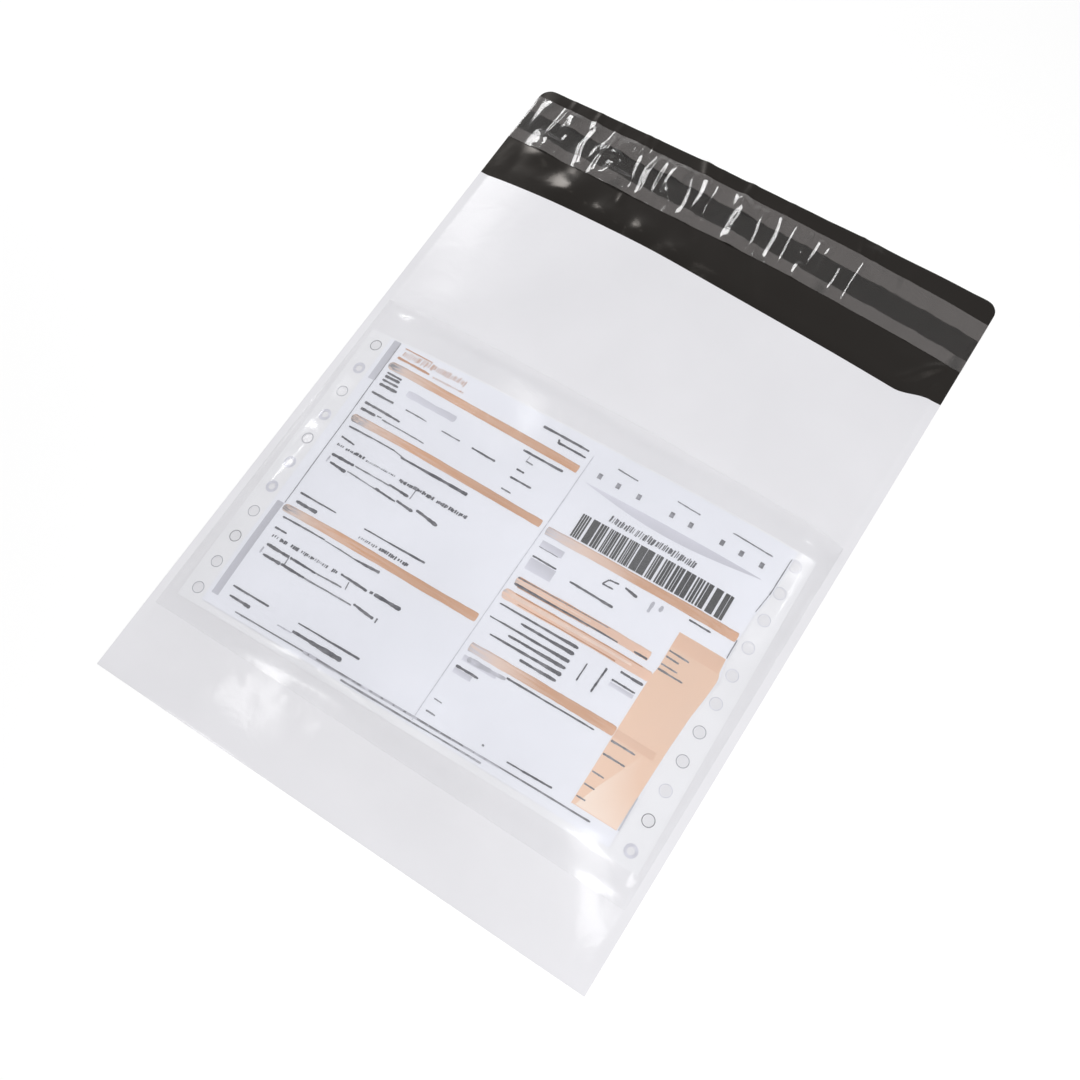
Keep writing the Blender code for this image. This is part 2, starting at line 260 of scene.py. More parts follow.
# Buckles and creases of the flap's film: from the bag's left edge and the fold. A buckle has half
# widths and a height. A crease has two ends, a half width and a steepness
FLAP_MOUNDS = (
    (42, 284, 9.0, 10.0, 2.5), (60, 279, 7.5, 8.0, 2.1), (80, 281, 6.5, 8.0, 1.9),
    (20, 293, 8.0, 5.0, 1.1), (120, 282, 24.0, 9.0, 0.6), (171, 323, 6.0, 2.6, 0.9),
    (150, 288, 20.0, 6.0, 0.5), (205, 284, 12.0, 5.0, 0.8), (98, 280, 7.0, 6.0, 1.2),
)
FLAP_CREASES = (
    (16.6, 312, 16.9, 329, 1.0, 0.24), (31.5, 316, 30.0, 329, 1.3, 0.25),
    (42.5, 316, 42.2, 329, 0.9, 0.24), (53, 318, 56, 329, 0.8, 0.22), (57.5, 316, 56.8, 330, 0.9, 0.26),
    (61.5, 316, 60.7, 330, 0.9, 0.23), (88.7, 319, 86.8, 330, 2.6, 0.26), (96, 322, 94, 330, 1.0, 0.20),
    (109.7, 318, 108.7, 330, 1.8, 0.29), (132, 310, 129, 330, 1.6, 0.16),
    (167, 319, 163, 329, 1.2, 0.29), (176, 314, 171, 328, 1.6, 0.25), (219, 272, 226, 292, 1.5, 0.42),
    (206, 273, 223, 290, 2.6, 0.34), (222, 274, 226, 286, 1.0, 0.46), (190, 300, 189, 326, 2.8, 0.14),
    (63.5, 288, 61.5, 295, 1.2, 0.40), (70, 271, 67.5, 281, 1.8, 0.36),
)
# Puckers of the strip over the glue: creases, in the same columns
LINER_CREASES = (
    (14.9, 300, 16.6, 327, 1.2, 0.46), (16.5, 292, 15.0, 305, 5.0, 0.38),
    (23.5, 309, 22.5, 322, 4.6, 0.36), (24.9, 293, 23.9, 310, 1.6, 0.46),
    (36.4, 292, 31.2, 328, 2.2, 0.48), (38.1, 293, 38.9, 310, 1.0, 0.44),
    (44.7, 293, 42.2, 326, 1.9, 0.48), (50.0, 307, 50.5, 324, 6.0, 0.40),
    (48.2, 296, 49.5, 312, 2.4, 0.42), (57.0, 290, 56.0, 304, 5.5, 0.38),
    (63.2, 293, 57.0, 328, 1.1, 0.48), (64.8, 294, 59.2, 318, 1.0, 0.44),
    (62.5, 316, 60.8, 328, 1.0, 0.42), (69.0, 293, 66.3, 324, 3.2, 0.50),
    (67.9, 297, 66.4, 318, 0.9, 0.30), (75.2, 293, 70.4, 323, 1.6, 0.50),
    (78.5, 300, 77.5, 324, 5.0, 0.46), (90.1, 293, 85.3, 323, 1.9, 0.52),
    (94.0, 293, 91.4, 324, 2.1, 0.52), (99.2, 299, 96.2, 323, 1.2, 0.50),
    (112.2, 303, 109.4, 329, 3.4, 0.62), (115.5, 291, 114.0, 305, 3.0, 0.56),
    (119.0, 294, 117.0, 320, 2.2, 0.46), (124.5, 294, 121.5, 320, 1.8, 0.48),
    (134.0, 292, 128.8, 322, 1.3, 0.54), (138.4, 297, 136.9, 321, 0.8, 0.66),
    (144.5, 304, 143.5, 319, 1.6, 0.42), (150.0, 303, 149.0, 318, 1.6, 0.44),
    (155.0, 302, 154.0, 317, 1.5, 0.44), (162.7, 296, 162.7, 310, 0.8, 0.68),
    (170.3, 291, 169.6, 319, 0.7, 0.70), (182.0, 292, 183.0, 318, 2.6, 0.20),
    (203.0, 290, 203.0, 316, 2.8, 0.20), (147.0, 292, 147.0, 303, 1.6, 0.46),
    (127.0, 292, 126.0, 302, 1.4, 0.44), (216.0, 288, 217.0, 315, 2.6, 0.22),
)


class MailerShape:
    """Heights of the bag's film and of what lies on it.

    x counts from the bag's middle and y from its bottom fold, in metres and as arrays.
    """

    mouth_dip_span = (-38 * MM, 88 * MM)
    mouth_rise_start = 94 * MM
    crown_start = 60 * MM
    crown_to_mouth = 78 * MM
    mouth_level = 20 * MM
    crown_power = 4
    skew_start = -23 * MM
    slip = 0.02 * MM
    flap_shore = (0.5 * MM, 10 * MM)
    flap_edge_fall = 9 * MM
    strip_edge = 3 * MM
    strip_edge_share = 0.35
    # The copy: its lift, its fold line's place, lean, height and half width, its swell and its curl
    copy_lift = 0.05 * MM
    fold_place, fold_lean = 111.5, 0.03
    fold_height, fold_half = 0.12 * MM, 0.9 * MM
    swell_place, swell_size, swell_height = (158 * MM, 120 * MM), (40 * MM, 4.5 * MM), 0.20 * MM
    curl_span, curl_wave, curl_height = (190 * MM, 206 * MM), 11 * MM, 0.22 * MM
    # The pouch film: where it comes down at its sides and bottom, its slack and its upper lip
    pouch_side_span = (5.5 * MM, 0.2 * MM)
    pouch_bottom_span = 12 * MM
    pouch_slack = 0.50 * MM
    lip_depth, lip_height, lip_wave = 6 * MM, 0.8 * MM, 13 * MM

    def __init__(self, scene):
        self.film = scene.mailer_film
        self.pouch = scene.mailer_pouch
        self.waybill = scene.mailer_waybill
        self.closure = scene.mailer_closure
        self.half = self.film.width / 2
        self.inside = self.half - self.film.side_weld
        self.body = self.film.total_length - self.film.flap_length
        self.pouch_half = POUCH_HIGH[0]
        self.sheet_half = self.waybill.width / 2
        self.sheet_length = self.waybill.hole_pitch * self.waybill.hole_count
        self.sheet_middle = self.waybill.bottom + self.sheet_length / 2
        self.film_waves = wave_set(11, 9, 34 * MM, 95 * MM, self.film.wave_height)
        self.flap_waves = wave_set(5, 6, 30 * MM, 70 * MM, 0.35 * MM)
        self.pouch_waves = wave_set(23, 12, 18 * MM, 60 * MM, self.pouch.wave_height)
        self.copy_waves = wave_set(31, 6, 48 * MM, 120 * MM, 0.07 * MM)
        self.liner_waves = wave_set(47, 10, 9 * MM, 30 * MM, 0.06 * MM)

    def lift(self, x, y):
        """How far the front panel has risen: a flat crown across, an S-curve up and down."""
        across = np.clip(1 - (np.abs(x) / self.inside) ** self.crown_power, 0.0, 1.0)
        fall = smooth(y, self.body - self.crown_to_mouth, self.body - self.mouth_level)
        rise = self.film.crown + (self.film.mouth_gape - self.film.crown) * fall
        loose = waves(self.film_waves, x, y) + mounds(FRONT_MOUNDS, x, y)
        return across * smooth(y, 0.0, self.crown_start) * (rise + loose)

    def front_top(self, x, y):
        """Outer face of the front panel, shut on the back panel at the welds and the fold."""
        return 2 * self.film.gauge + self.slip + self.lift(x, y)

    def mouth(self, x):
        """The mouth's distance from the fold: a dip on the right, short of the weld."""
        dip = smooth(x, *self.mouth_dip_span)
        dip = dip * (1 - smooth(x, self.mouth_rise_start, self.inside))
        return self.body - self.film.mouth_dip * dip

    def flap_end(self, x):
        """The flap's outer edge: bowed, with round corners."""
        corner = self.film.flap_corner
        beyond = np.clip(np.abs(x) - (self.half - corner), 0.0, corner)
        drop = corner - np.sqrt(corner**2 - beyond**2)
        return self.film.total_length - drop - self.film.flap_bow * (x / self.half) ** 2

    def flap_rise(self, x, y):
        """How far the flap's film stands off the floor: buckles, creases and soft waves."""
        left = x + self.half
        relief = mounds(FLAP_MOUNDS, left, y) + creases(FLAP_CREASES, left, y)
        relief = relief + np.abs(waves(self.flap_waves, x, y))
        shore = smooth(y - self.mouth(x), *self.flap_shore)
        return shore * relief * (1 - smooth(np.abs(x), self.half - self.flap_edge_fall, self.half))

    def skew(self, x):
        """How far the closure's bands have run down towards the mouth."""
        share = np.clip((x - self.skew_start) / (self.half - self.skew_start), 0.0, None)
        return self.closure.skew * share**2

    def closure_y(self, x, row):
        """A distance from the mouth, turned into a distance from the fold."""
        return self.body + row - self.skew(x)

    def glue_under(self, x, y):
        return self.film.gauge + self.slip + self.flap_rise(x, y)

    def liner_under(self, x, row):
        """The strip: over the glue and the flap, puckered, and down at both its edges."""
        y = self.closure_y(x, row)
        closure = self.closure
        edge = np.minimum(row - closure.liner_start, closure.liner_start + closure.liner_width - row)
        held = self.strip_edge_share
        free = held + (1 - held) * smooth(edge, 0.0, self.strip_edge)
        relief = creases(LINER_CREASES, x + self.half, y) + np.abs(waves(self.liner_waves, x, y))
        return self.glue_under(x, y) + closure.glue + self.slip + free * relief

    def turned(self, u, v):
        """A place on the waybill, from the base sheet's lower left corner, as x and y."""
        turn = self.waybill.turn
        across, up = u - self.sheet_half, v - self.sheet_length / 2
        x = math.cos(turn) * across - math.sin(turn) * up
        return x, self.sheet_middle + math.sin(turn) * across + math.cos(turn) * up

    def base_under(self, x, y):
        return self.front_top(x, y) + self.waybill.air

    def copy_under(self, u, v):
        """The copy lies on the base sheet, with its own waves, a curl and a fold line."""
        x, y = self.turned(u, v)
        gap = self.waybill.paper + self.waybill.air
        own = self.copy_lift + waves(self.copy_waves, x, y)
        fold = u - (self.fold_place + self.fold_lean * v / MM) * MM
        own = own + self.fold_height * np.exp(-((fold / self.fold_half) ** 2))
        across = (u - self.swell_place[0]) / self.swell_size[0]
        along = (v - self.swell_place[1]) / self.swell_size[1]
        swell = self.swell_height * np.exp(-(across**2) - along**2)
        curl = smooth(u, *self.curl_span) * (0.5 + 0.5 * np.sin(v / self.curl_wave))
        return self.base_under(x, y) + gap + np.maximum(own, 0.0) + swell + self.curl_height * curl

    def copy_top(self, u, v):
        return self.copy_under(u, v) + self.waybill.paper

    def pouch_under(self, x, y):
        """The clear film: down at its three welds, over the waybill between them, and loose."""
        top = self.pouch.bottom + self.pouch.height
        ripple = 0.5 * MM * np.sin(y / (7 * MM)) * np.sin(y / (17 * MM))
        start, end = (self.pouch_half - inset for inset in self.pouch_side_span)
        inward = 1 - smooth(np.abs(x) + ripple, start, end)
        ripple = 1.0 * MM * np.sin(x / (19 * MM)) + 0.6 * MM * np.sin(x / (11 * MM) + 1)
        bottom = self.pouch.bottom
        upward = smooth(y + ripple, bottom + self.pouch.weld, bottom + self.pouch_bottom_span)
        stack = 2 * (self.waybill.paper + self.waybill.air) + self.pouch_slack
        loose = self.pouch.wave_height + waves(self.pouch_waves, x, y)
        loose = np.maximum(loose, 0.0) + mounds(POUCH_MOUNDS, x, y)
        lip = self.lip_height * smooth(y, top - self.lip_depth, top)
        lip = lip * (1 + 0.5 * np.sin(x / self.lip_wave))
        return self.front_top(x, y) + self.slip + inward * upward * (stack + loose + lip)


# Meshes

def new_mesh(name, points, faces, uvs=None):
    """A mesh from arrays: points (n, 3), quads (m, 4) and, for each point, a place to paint by."""
    mesh = bpy.data.meshes.new(name)
    mesh.vertices.add(len(points))
    mesh.vertices.foreach_set("co", np.ascontiguousarray(points, dtype=np.float32).ravel())
    mesh.loops.add(faces.size)
    mesh.loops.foreach_set("vertex_index", faces.astype(np.int32).ravel())
    mesh.polygons.add(len(faces))
    mesh.polygons.foreach_set("loop_start", np.arange(0, faces.size, 4, dtype=np.int32))
    if uvs is not None:
        layer = mesh.uv_layers.new(name="Sheet")
        layer.uv.foreach_set("vector", uvs[faces.ravel()].astype(np.float32).ravel())
    mesh.update(calc_edges=True)
    mesh.validate()
    return mesh


def grid_faces(rows, columns):
    """Quads of a grid whose points run along its columns first."""
    first = np.arange(rows - 1)[:, None] * columns + np.arange(columns - 1)[None, :]
    first = first.ravel()
    return np.stack([first, first + 1, first + columns + 1, first + columns], axis=1)


def grid_mesh(name, x, y, z):
    """An open sheet from grids of x, y and z. It is painted by its share across and up."""
    rows, columns = x.shape
    points = np.stack([x, y + FOLD_Y, z], axis=-1).reshape(-1, 3)
    across, up = np.meshgrid(np.linspace(0, 1, columns), np.linspace(0, 1, rows))
    uvs = np.stack([across, up], axis=-1).reshape(-1, 2)
    return new_mesh(name, points, grid_faces(rows, columns), uvs)


def slab_arrays(x, y, z, thickness):
    """Closed thin slabs, each from a grid (slabs, along, across) of the surface that it lies on.

    Each slab's points are its upper grid and then its lower one. The rim joins the two along
    the grid's outline, taken once round.
    """
    slabs, along, across = x.shape
    upper = np.stack([x, y + FOLD_Y, z + thickness], axis=-1)
    lower = np.stack([x, y + FOLD_Y, z], axis=-1)
    points = np.stack([upper, lower], axis=1).reshape(-1, 3)
    count = along * across
    quads = grid_faces(along, across)
    number = np.arange(count).reshape(along, across)
    rim = np.concatenate(
        [number[0, :], number[1:, -1], number[-1, -2::-1], number[-2:0:-1, 0]]
    )
    following = np.roll(rim, -1)
    sides = np.stack([rim, rim + count, following + count, following], axis=1)
    one = np.concatenate([quads, quads[:, ::-1] + count, sides])
    faces = (np.arange(slabs)[:, None, None] * 2 * count + one[None]).reshape(-1, 4)
    share = np.meshgrid(np.linspace(0, 1, across), np.linspace(0, 1, along))
    uv = np.stack([share[1], share[0]], axis=-1).reshape(-1, 2)
    return points, faces, np.tile(uv, (2 * slabs, 1))


def joined(parts):
    """Several slab arrays as one, each set's faces counted on from the last."""
    points = np.concatenate([part[0] for part in parts])
    starts = np.cumsum([0] + [len(part[0]) for part in parts[:-1]])
    faces = np.concatenate([part[1] + start for part, start in zip(parts, starts)])
    return points, faces, np.concatenate([part[2] for part in parts])


def crisp_border(mesh):
    """Marks an open sheet's border sharp, so that its cut edge isn't shaded into its faces."""
    used = np.empty(len(mesh.loops), dtype=np.int32)
    mesh.loops.foreach_get("edge_index", used)
    border = np.bincount(used, minlength=len(mesh.edges)) == 1
    mesh.attributes.new("sharp_edge", "BOOLEAN", "EDGE").data.foreach_set("value", border)


def face_outwards(mesh):
    work = bmesh.new()
    work.from_mesh(mesh)
    bmesh.ops.recalc_face_normals(work, faces=work.faces)
    work.to_mesh(mesh)
    work.free()


def add_piece(name, mesh, finishes, slot, *nodes):
    """A finished piece: it rides on the bag and stands for the frame's nodes that it is named for."""
    piece = bpy.data.objects.new(name, mesh)
    bpy.context.scene.collection.objects.link(piece)
    for finish in finishes:
        mesh.materials.append(finish)
    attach(piece, "root")
    if nodes:
        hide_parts(*nodes)
    return piece


def add_wall(piece, thickness, offset):
    """Gives an open sheet its thickness: both ways at offset 0, along its normals at 1."""
    wall = piece.modifiers.new("Wall", "SOLIDIFY")
    wall.thickness = thickness
    wall.offset = offset
    wall.use_even_offset = True
    return wall


def stations(low, high, step, dense=()):
    """Places from low to high about a step apart, with the dense ones between them."""
    even = np.linspace(low, high, max(2, round((high - low) / step) + 1))
    return np.unique(np.concatenate([even, dense]).round(7))


# Materials

def add(tree, kind, inputs=(), **settings):
    """Adds a node, with its inputs set to values or linked to other nodes' outputs."""
    made = tree.nodes.new(kind)
    for key, value in settings.items():
        setattr(made, key, value)
    for key, value in dict(inputs).items():
        if isinstance(value, bpy.types.NodeSocket):
            tree.links.new(value, made.inputs[key])
        else:
            made.inputs[key].default_value = value
    return made


def blank(name):
    """A material with nothing in it but its output."""
    made = bpy.data.materials.new(name)
    made.use_nodes = True
    made.node_tree.nodes.clear()
    return made, made.node_tree


def finish_with(tree, shader):
    add(tree, "ShaderNodeOutputMaterial", {"Surface": shader.outputs[0]})


def object_place(tree, scale=(1.0, 1.0, 1.0)):
    place = add(tree, "ShaderNodeTexCoord").outputs["Object"]
    return add(tree, "ShaderNodeMapping", {"Vector": place, "Scale": scale}).outputs[0]


def uv_place(tree):
    place = add(tree, "ShaderNodeTexCoord").outputs["UV"]
    return add(tree, "ShaderNodeSeparateXYZ", {0: place})


def noise(tree, place, scale, detail=2.0, distortion=0.0):
    made = add(
        tree, "ShaderNodeTexNoise",
        {"Vector": place, "Scale": scale, "Detail": detail, "Distortion": distortion},
    )
    return made.outputs[0]


def remap(tree, value, low, high, to_low, to_high):
    made = add(
        tree, "ShaderNodeMapRange",
        {"Value": value, 1: low, 2: high, 3: to_low, 4: to_high},
    )
    return made.outputs[0]


def sum_of(tree, first, second, operation="ADD"):
    return add(tree, "ShaderNodeMath", {0: first, 1: second}, operation=operation).outputs[0]


def ramp(tree, value, stops):
    """A colour ramp through (place, colour) stops."""
    made = add(tree, "ShaderNodeValToRGB", {"Fac": value})
    band = made.color_ramp
    while len(band.elements) < len(stops):
        band.elements.new(0.5)
    for element, (place, colour) in zip(band.elements, stops):
        element.position = place
        element.color = (*colour, 1.0)
    return made.outputs[0]


def blend_colours(tree, share, first, second):
    made = add(tree, "ShaderNodeMix", data_type="RGBA")
    for key, value in ((0, share), (6, first), (7, second)):
        if isinstance(value, bpy.types.NodeSocket):
            tree.links.new(value, made.inputs[key])
        else:
            made.inputs[key].default_value = value
    return made.outputs[2]


def bump(tree, height, distance, below=None):
    """Bump of a height from 0 to 1 over a distance in metres, on top of another bump."""
    inputs = {"Height": height, "Distance": distance, "Strength": 1.0}
    if below is not None:
        inputs["Normal"] = below
    return add(tree, "ShaderNodeBump", inputs).outputs[0]


def shade(colour, factor):
    return tuple(min(1.0, channel * factor) for channel in colour)


def film_finish(name, colour, roughness, crinkle, gloss, skin, tint):
    """Blown film: softly uneven gloss, a fine orange peel and shallow crinkles.

    Its crisper skin is duller towards the mouth, where the film has been handled.
    """
    made, tree = blank(name)
    place = object_place(tree)
    cloud = noise(tree, place, 22.0, 3.0)
    peel = noise(tree, place, 1100.0, 1.0)
    fold = noise(tree, place, 75.0, 2.0, 0.8)
    normal = bump(tree, peel, 0.004 * MM, bump(tree, fold, crinkle))
    shader = add(tree, "ShaderNodeBsdfPrincipled", {
        "Base Color": ramp(tree, cloud, ((0.3, shade(colour, 0.975)), (0.7, shade(colour, 1.02)))),
        "Roughness": remap(tree, noise(tree, place, 48.0, 3.0), 0.3, 0.7, *roughness),
        "Normal": normal,
        "IOR": 1.5,
        "Specular IOR Level": gloss,
        "Specular Tint": (*tint, 1.0),
        "Coat Roughness": 0.12,
        "Coat Normal": normal,
    })
    if skin > 0:
        along = add(tree, "ShaderNodeSeparateXYZ", {0: place}).outputs[1]
        worn_skin = remap(tree, along, -40 * MM, 30 * MM, skin, 0.12 * skin)
        tree.links.new(worn_skin, shader.inputs["Coat Weight"])
    finish_with(tree, shader)
    return made


def clear_layers(tree, haze, haze_colour, roughness, normal, reflectance):
    """A clear film: haze over see-through, and gloss that grows towards grazing angles.

    The gloss is Schlick's curve of the facing angle, the same from both sides of the film.
    """
    clear = add(tree, "ShaderNodeBsdfTransparent", {"Color": (1.0, 1.0, 1.0, 1.0)})
    milk = add(tree, "ShaderNodeBsdfDiffuse", {"Color": haze_colour, "Normal": normal})
    body = add(tree, "ShaderNodeMixShader", {0: haze, 1: clear.outputs[0], 2: milk.outputs[0]})
    facing = add(tree, "ShaderNodeLayerWeight", {"Blend": 0.5, "Normal": normal}).outputs["Facing"]
    grazing = sum_of(tree, facing, 5.0, "POWER")
    share = add(tree, "ShaderNodeMapRange", {"Value": grazing, 3: reflectance, 4: 1.0}).outputs[0]
    gloss = add(tree, "ShaderNodeBsdfGlossy", {"Roughness": roughness, "Normal": normal})
    return add(tree, "ShaderNodeMixShader", {0: share, 1: body.outputs[0], 2: gloss.outputs[0]})


def pouch_finish(settings):
    made, tree = blank("Clear pouch film")
    place = object_place(tree)
    dimple = noise(tree, place, 240.0, 2.0, 0.4)
    fold = noise(tree, place, 70.0, 2.0, 1.2)
    normal = bump(tree, dimple, 0.008 * MM, bump(tree, fold, 0.10 * MM))
    haze = remap(tree, noise(tree, place, 30.0, 2.0), 0.3, 0.7, 0.02, 0.05)
    finish_with(tree, clear_layers(tree, haze, (*settings.haze, 1.0), 0.13, normal, 0.028))
    return made


def welded_finish():
    """The pouch film's cut edge, melted into the bag film."""
    made, tree = blank("Welded edge")
    finish_with(tree, add(tree, "ShaderNodeBsdfTransparent", {"Color": (1.0, 1.0, 1.0, 1.0)}))
    return made


def liner_finish(shape):
    """The strip over the glue: clear where the glue wets it, grey where it lies dry.

    Its fine puckers are a noise drawn out along the bag, and are strongest on the left.
    """
    made, tree = blank("Clear liner film")
    place = object_place(tree)
    closure = shape.closure
    up = uv_place(tree).outputs[1]
    low = (closure.glue_start - closure.liner_start) / closure.liner_width
    high = low + closure.glue_width / closure.liner_width
    edge = 0.012
    above = remap(tree, up, high - edge, high + edge, 0.0, 1.0)
    dry = sum_of(tree, above, remap(tree, up, low - edge, low + edge, 1.0, 0.0))
    cloud = noise(tree, place, 90.0, 3.0, 0.6)
    pulled = noise(tree, object_place(tree, (1.0, 0.22, 1.0)), 62.0, 2.0, 0.3)
    tight = remap(tree, pulled, 0.30, 0.42, 0.15, 1.0)
    grey = sum_of(tree, remap(tree, cloud, 0.3, 0.7, 0.40, 0.50), dry, "MULTIPLY")
    haze = sum_of(tree, grey, tight, "MULTIPLY")
    across = add(tree, "ShaderNodeSeparateXYZ", {0: place}).outputs[0]
    slack = remap(tree, across, -10 * MM, 60 * MM, 1.0, 0.22)
    pucker = noise(tree, object_place(tree, (1.0, 0.12, 1.0)), 130.0, 1.0, 0.4)
    normal = bump(tree, sum_of(tree, pucker, slack, "MULTIPLY"), 1.5 * MM)
    reflectance = remap(tree, dry, 0.0, 1.0, 0.028, 0.058)
    finish_with(tree, clear_layers(tree, haze, (*closure.haze, 1.0), 0.13, normal, reflectance))
    return made


def glue_finish(closure):
    made, tree = blank("Dark glue")
    place = object_place(tree)
    shader = add(tree, "ShaderNodeBsdfPrincipled", {
        "Base Color": ramp(tree, noise(tree, place, 60.0), (
            (0.3, shade(closure.glue_colour, 0.85)), (0.7, shade(closure.glue_colour, 1.15)))),
        "Roughness": remap(tree, noise(tree, place, 200.0), 0.3, 0.7, 0.30, 0.45),
        "Specular IOR Level": 0.1,
    })
    finish_with(tree, shader)
    return made


def paper_finish(name, colour, rough):
    """Thin office paper: faint clouds, fibres and a slightly waxy tooth."""
    made, tree = blank(name)
    place = object_place(tree)
    cloud = ramp(tree, noise(tree, place, 16.0, 4.0), (
        (0.32, shade(colour, 0.955)), (0.68, shade(colour, 1.03))))
    fibre = noise(tree, object_place(tree, (1.0, 0.45, 1.0)), 1500.0, 3.0)
    tooth = bump(tree, fibre, 0.006 * MM, bump(tree, noise(tree, place, 55.0, 2.0), 0.10 * MM))
    shader = add(tree, "ShaderNodeBsdfPrincipled", {
        "Base Color": cloud,
        "Roughness": remap(tree, fibre, 0.3, 0.7, rough - 0.05, rough + 0.05),
        "Normal": tooth,
        "IOR": 1.45,
    })
    finish_with(tree, shader)
    return made


def streaked_finish(name, stops, streak_colour, rim_colour):
    """Print that was laid on in long streaks: its tone runs along the bar, worn at one end.

    The stops go by the share t of the bar's length. Its stations run as arccos(1 - 2t) / pi.
    """
    made, tree = blank(name)
    stops = [(math.acos(1 - 2 * share) / math.pi, colour) for share, colour in stops]
    place = uv_place(tree)
    along = place.outputs[0]
    base = ramp(tree, along, stops)
    streak = noise(tree, object_place(tree, (0.03, 1.0, 1.0)), 1500.0, 3.0)
    wear = remap(tree, along, 0.10, 0.55, 0.85, 0.22)
    share = sum_of(tree, remap(tree, streak, 0.44, 0.58, 0.0, 1.0), wear, "MULTIPLY")
    worn = blend_colours(tree, share, base, (*streak_colour, 1.0))
    rim = remap(tree, place.outputs[1], 0.84, 0.93, 0.0, 0.5)
    shader = add(tree, "ShaderNodeBsdfPrincipled", {
        "Base Color": blend_colours(tree, rim, worn, (*shade(rim_colour, 0.85), 1.0)),
        "Roughness": remap(tree, streak, 0.3, 0.7, 0.42, 0.55),
        "Normal": bump(tree, streak, 0.004 * MM),
    })
    finish_with(tree, shader)
    return made


def ink_finish(name, colour, lighter):
    """Ribbon ink on paper, thinner in places."""
    made, tree = blank(name)
    thin = noise(tree, object_place(tree, (0.6, 1.0, 1.0)), 420.0, 3.0)
    shader = add(tree, "ShaderNodeBsdfPrincipled", {
        "Base Color": ramp(tree, thin, ((0.46, colour), (0.78, lighter))),
        "Roughness": 0.5,
        "Normal": bump(tree, thin, 0.004 * MM),
    })
    finish_with(tree, shader)
    return made


def field_finish(name, colour, second):
    """A printed field that runs softly from its second tone, low down, to its first."""
    made, tree = blank(name)
    place = uv_place(tree)
    cloud = noise(tree, object_place(tree), 70.0, 3.0)
    tilt = sum_of(tree, place.outputs[0], sum_of(tree, place.outputs[1], 0.5, "MULTIPLY"))
    share = remap(tree, sum_of(tree, tilt, sum_of(tree, cloud, 0.4, "MULTIPLY")), 0.3, 1.3, 0.0, 1.0)
    shader = add(tree, "ShaderNodeBsdfPrincipled", {
        "Base Color": ramp(tree, share, ((0.0, second), (1.0, colour))),
        "Roughness": 0.5,
        "Normal": bump(tree, cloud, 0.02 * MM),
    })
    finish_with(tree, shader)
    return made


# Print of the copy, in millimetres from the base sheet's lower left corner

# Heading bars: left end, its height, right end, its height, width at the left and at the right
LEFT_BARS = (
    (17.6, 127.6, 112.8, 124.7, 3.7, 3.7), (17.6, 99.6, 112.2, 97.3, 3.6, 3.4),
    (16.6, 51.9, 111.4, 51.3, 3.7, 3.7),
)
RIGHT_BARS = (
    (115.3, 96.1, 201.0, 96.2, 3.8, 4.0), (115.0, 40.4, 179.6, 40.4, 3.9, 4.0),
)
WORN_BARS = ((116.0, 72.2, 176.2, 72.2, 4.2, 4.0), (114.2, 65.5, 180.4, 65.4, 4.4, 4.3))
# Dark and light streaks on the worn bars
WORN_STREAKS = (
    (117.0, 73.7, 158.0, 74.0, 0.6, 0.3), (119.0, 67.3, 176.0, 67.2, 0.5, 0.4),
    (122.0, 63.9, 166.0, 63.8, 0.4, 0.6), (118.0, 70.0, 150.0, 70.1, 0.4, 0.3),
)
CREAM_STREAKS = ((117.5, 65.9, 172.0, 65.7, 1.7, 1.0), (118.0, 72.3, 150.0, 72.4, 0.9, 0.5))
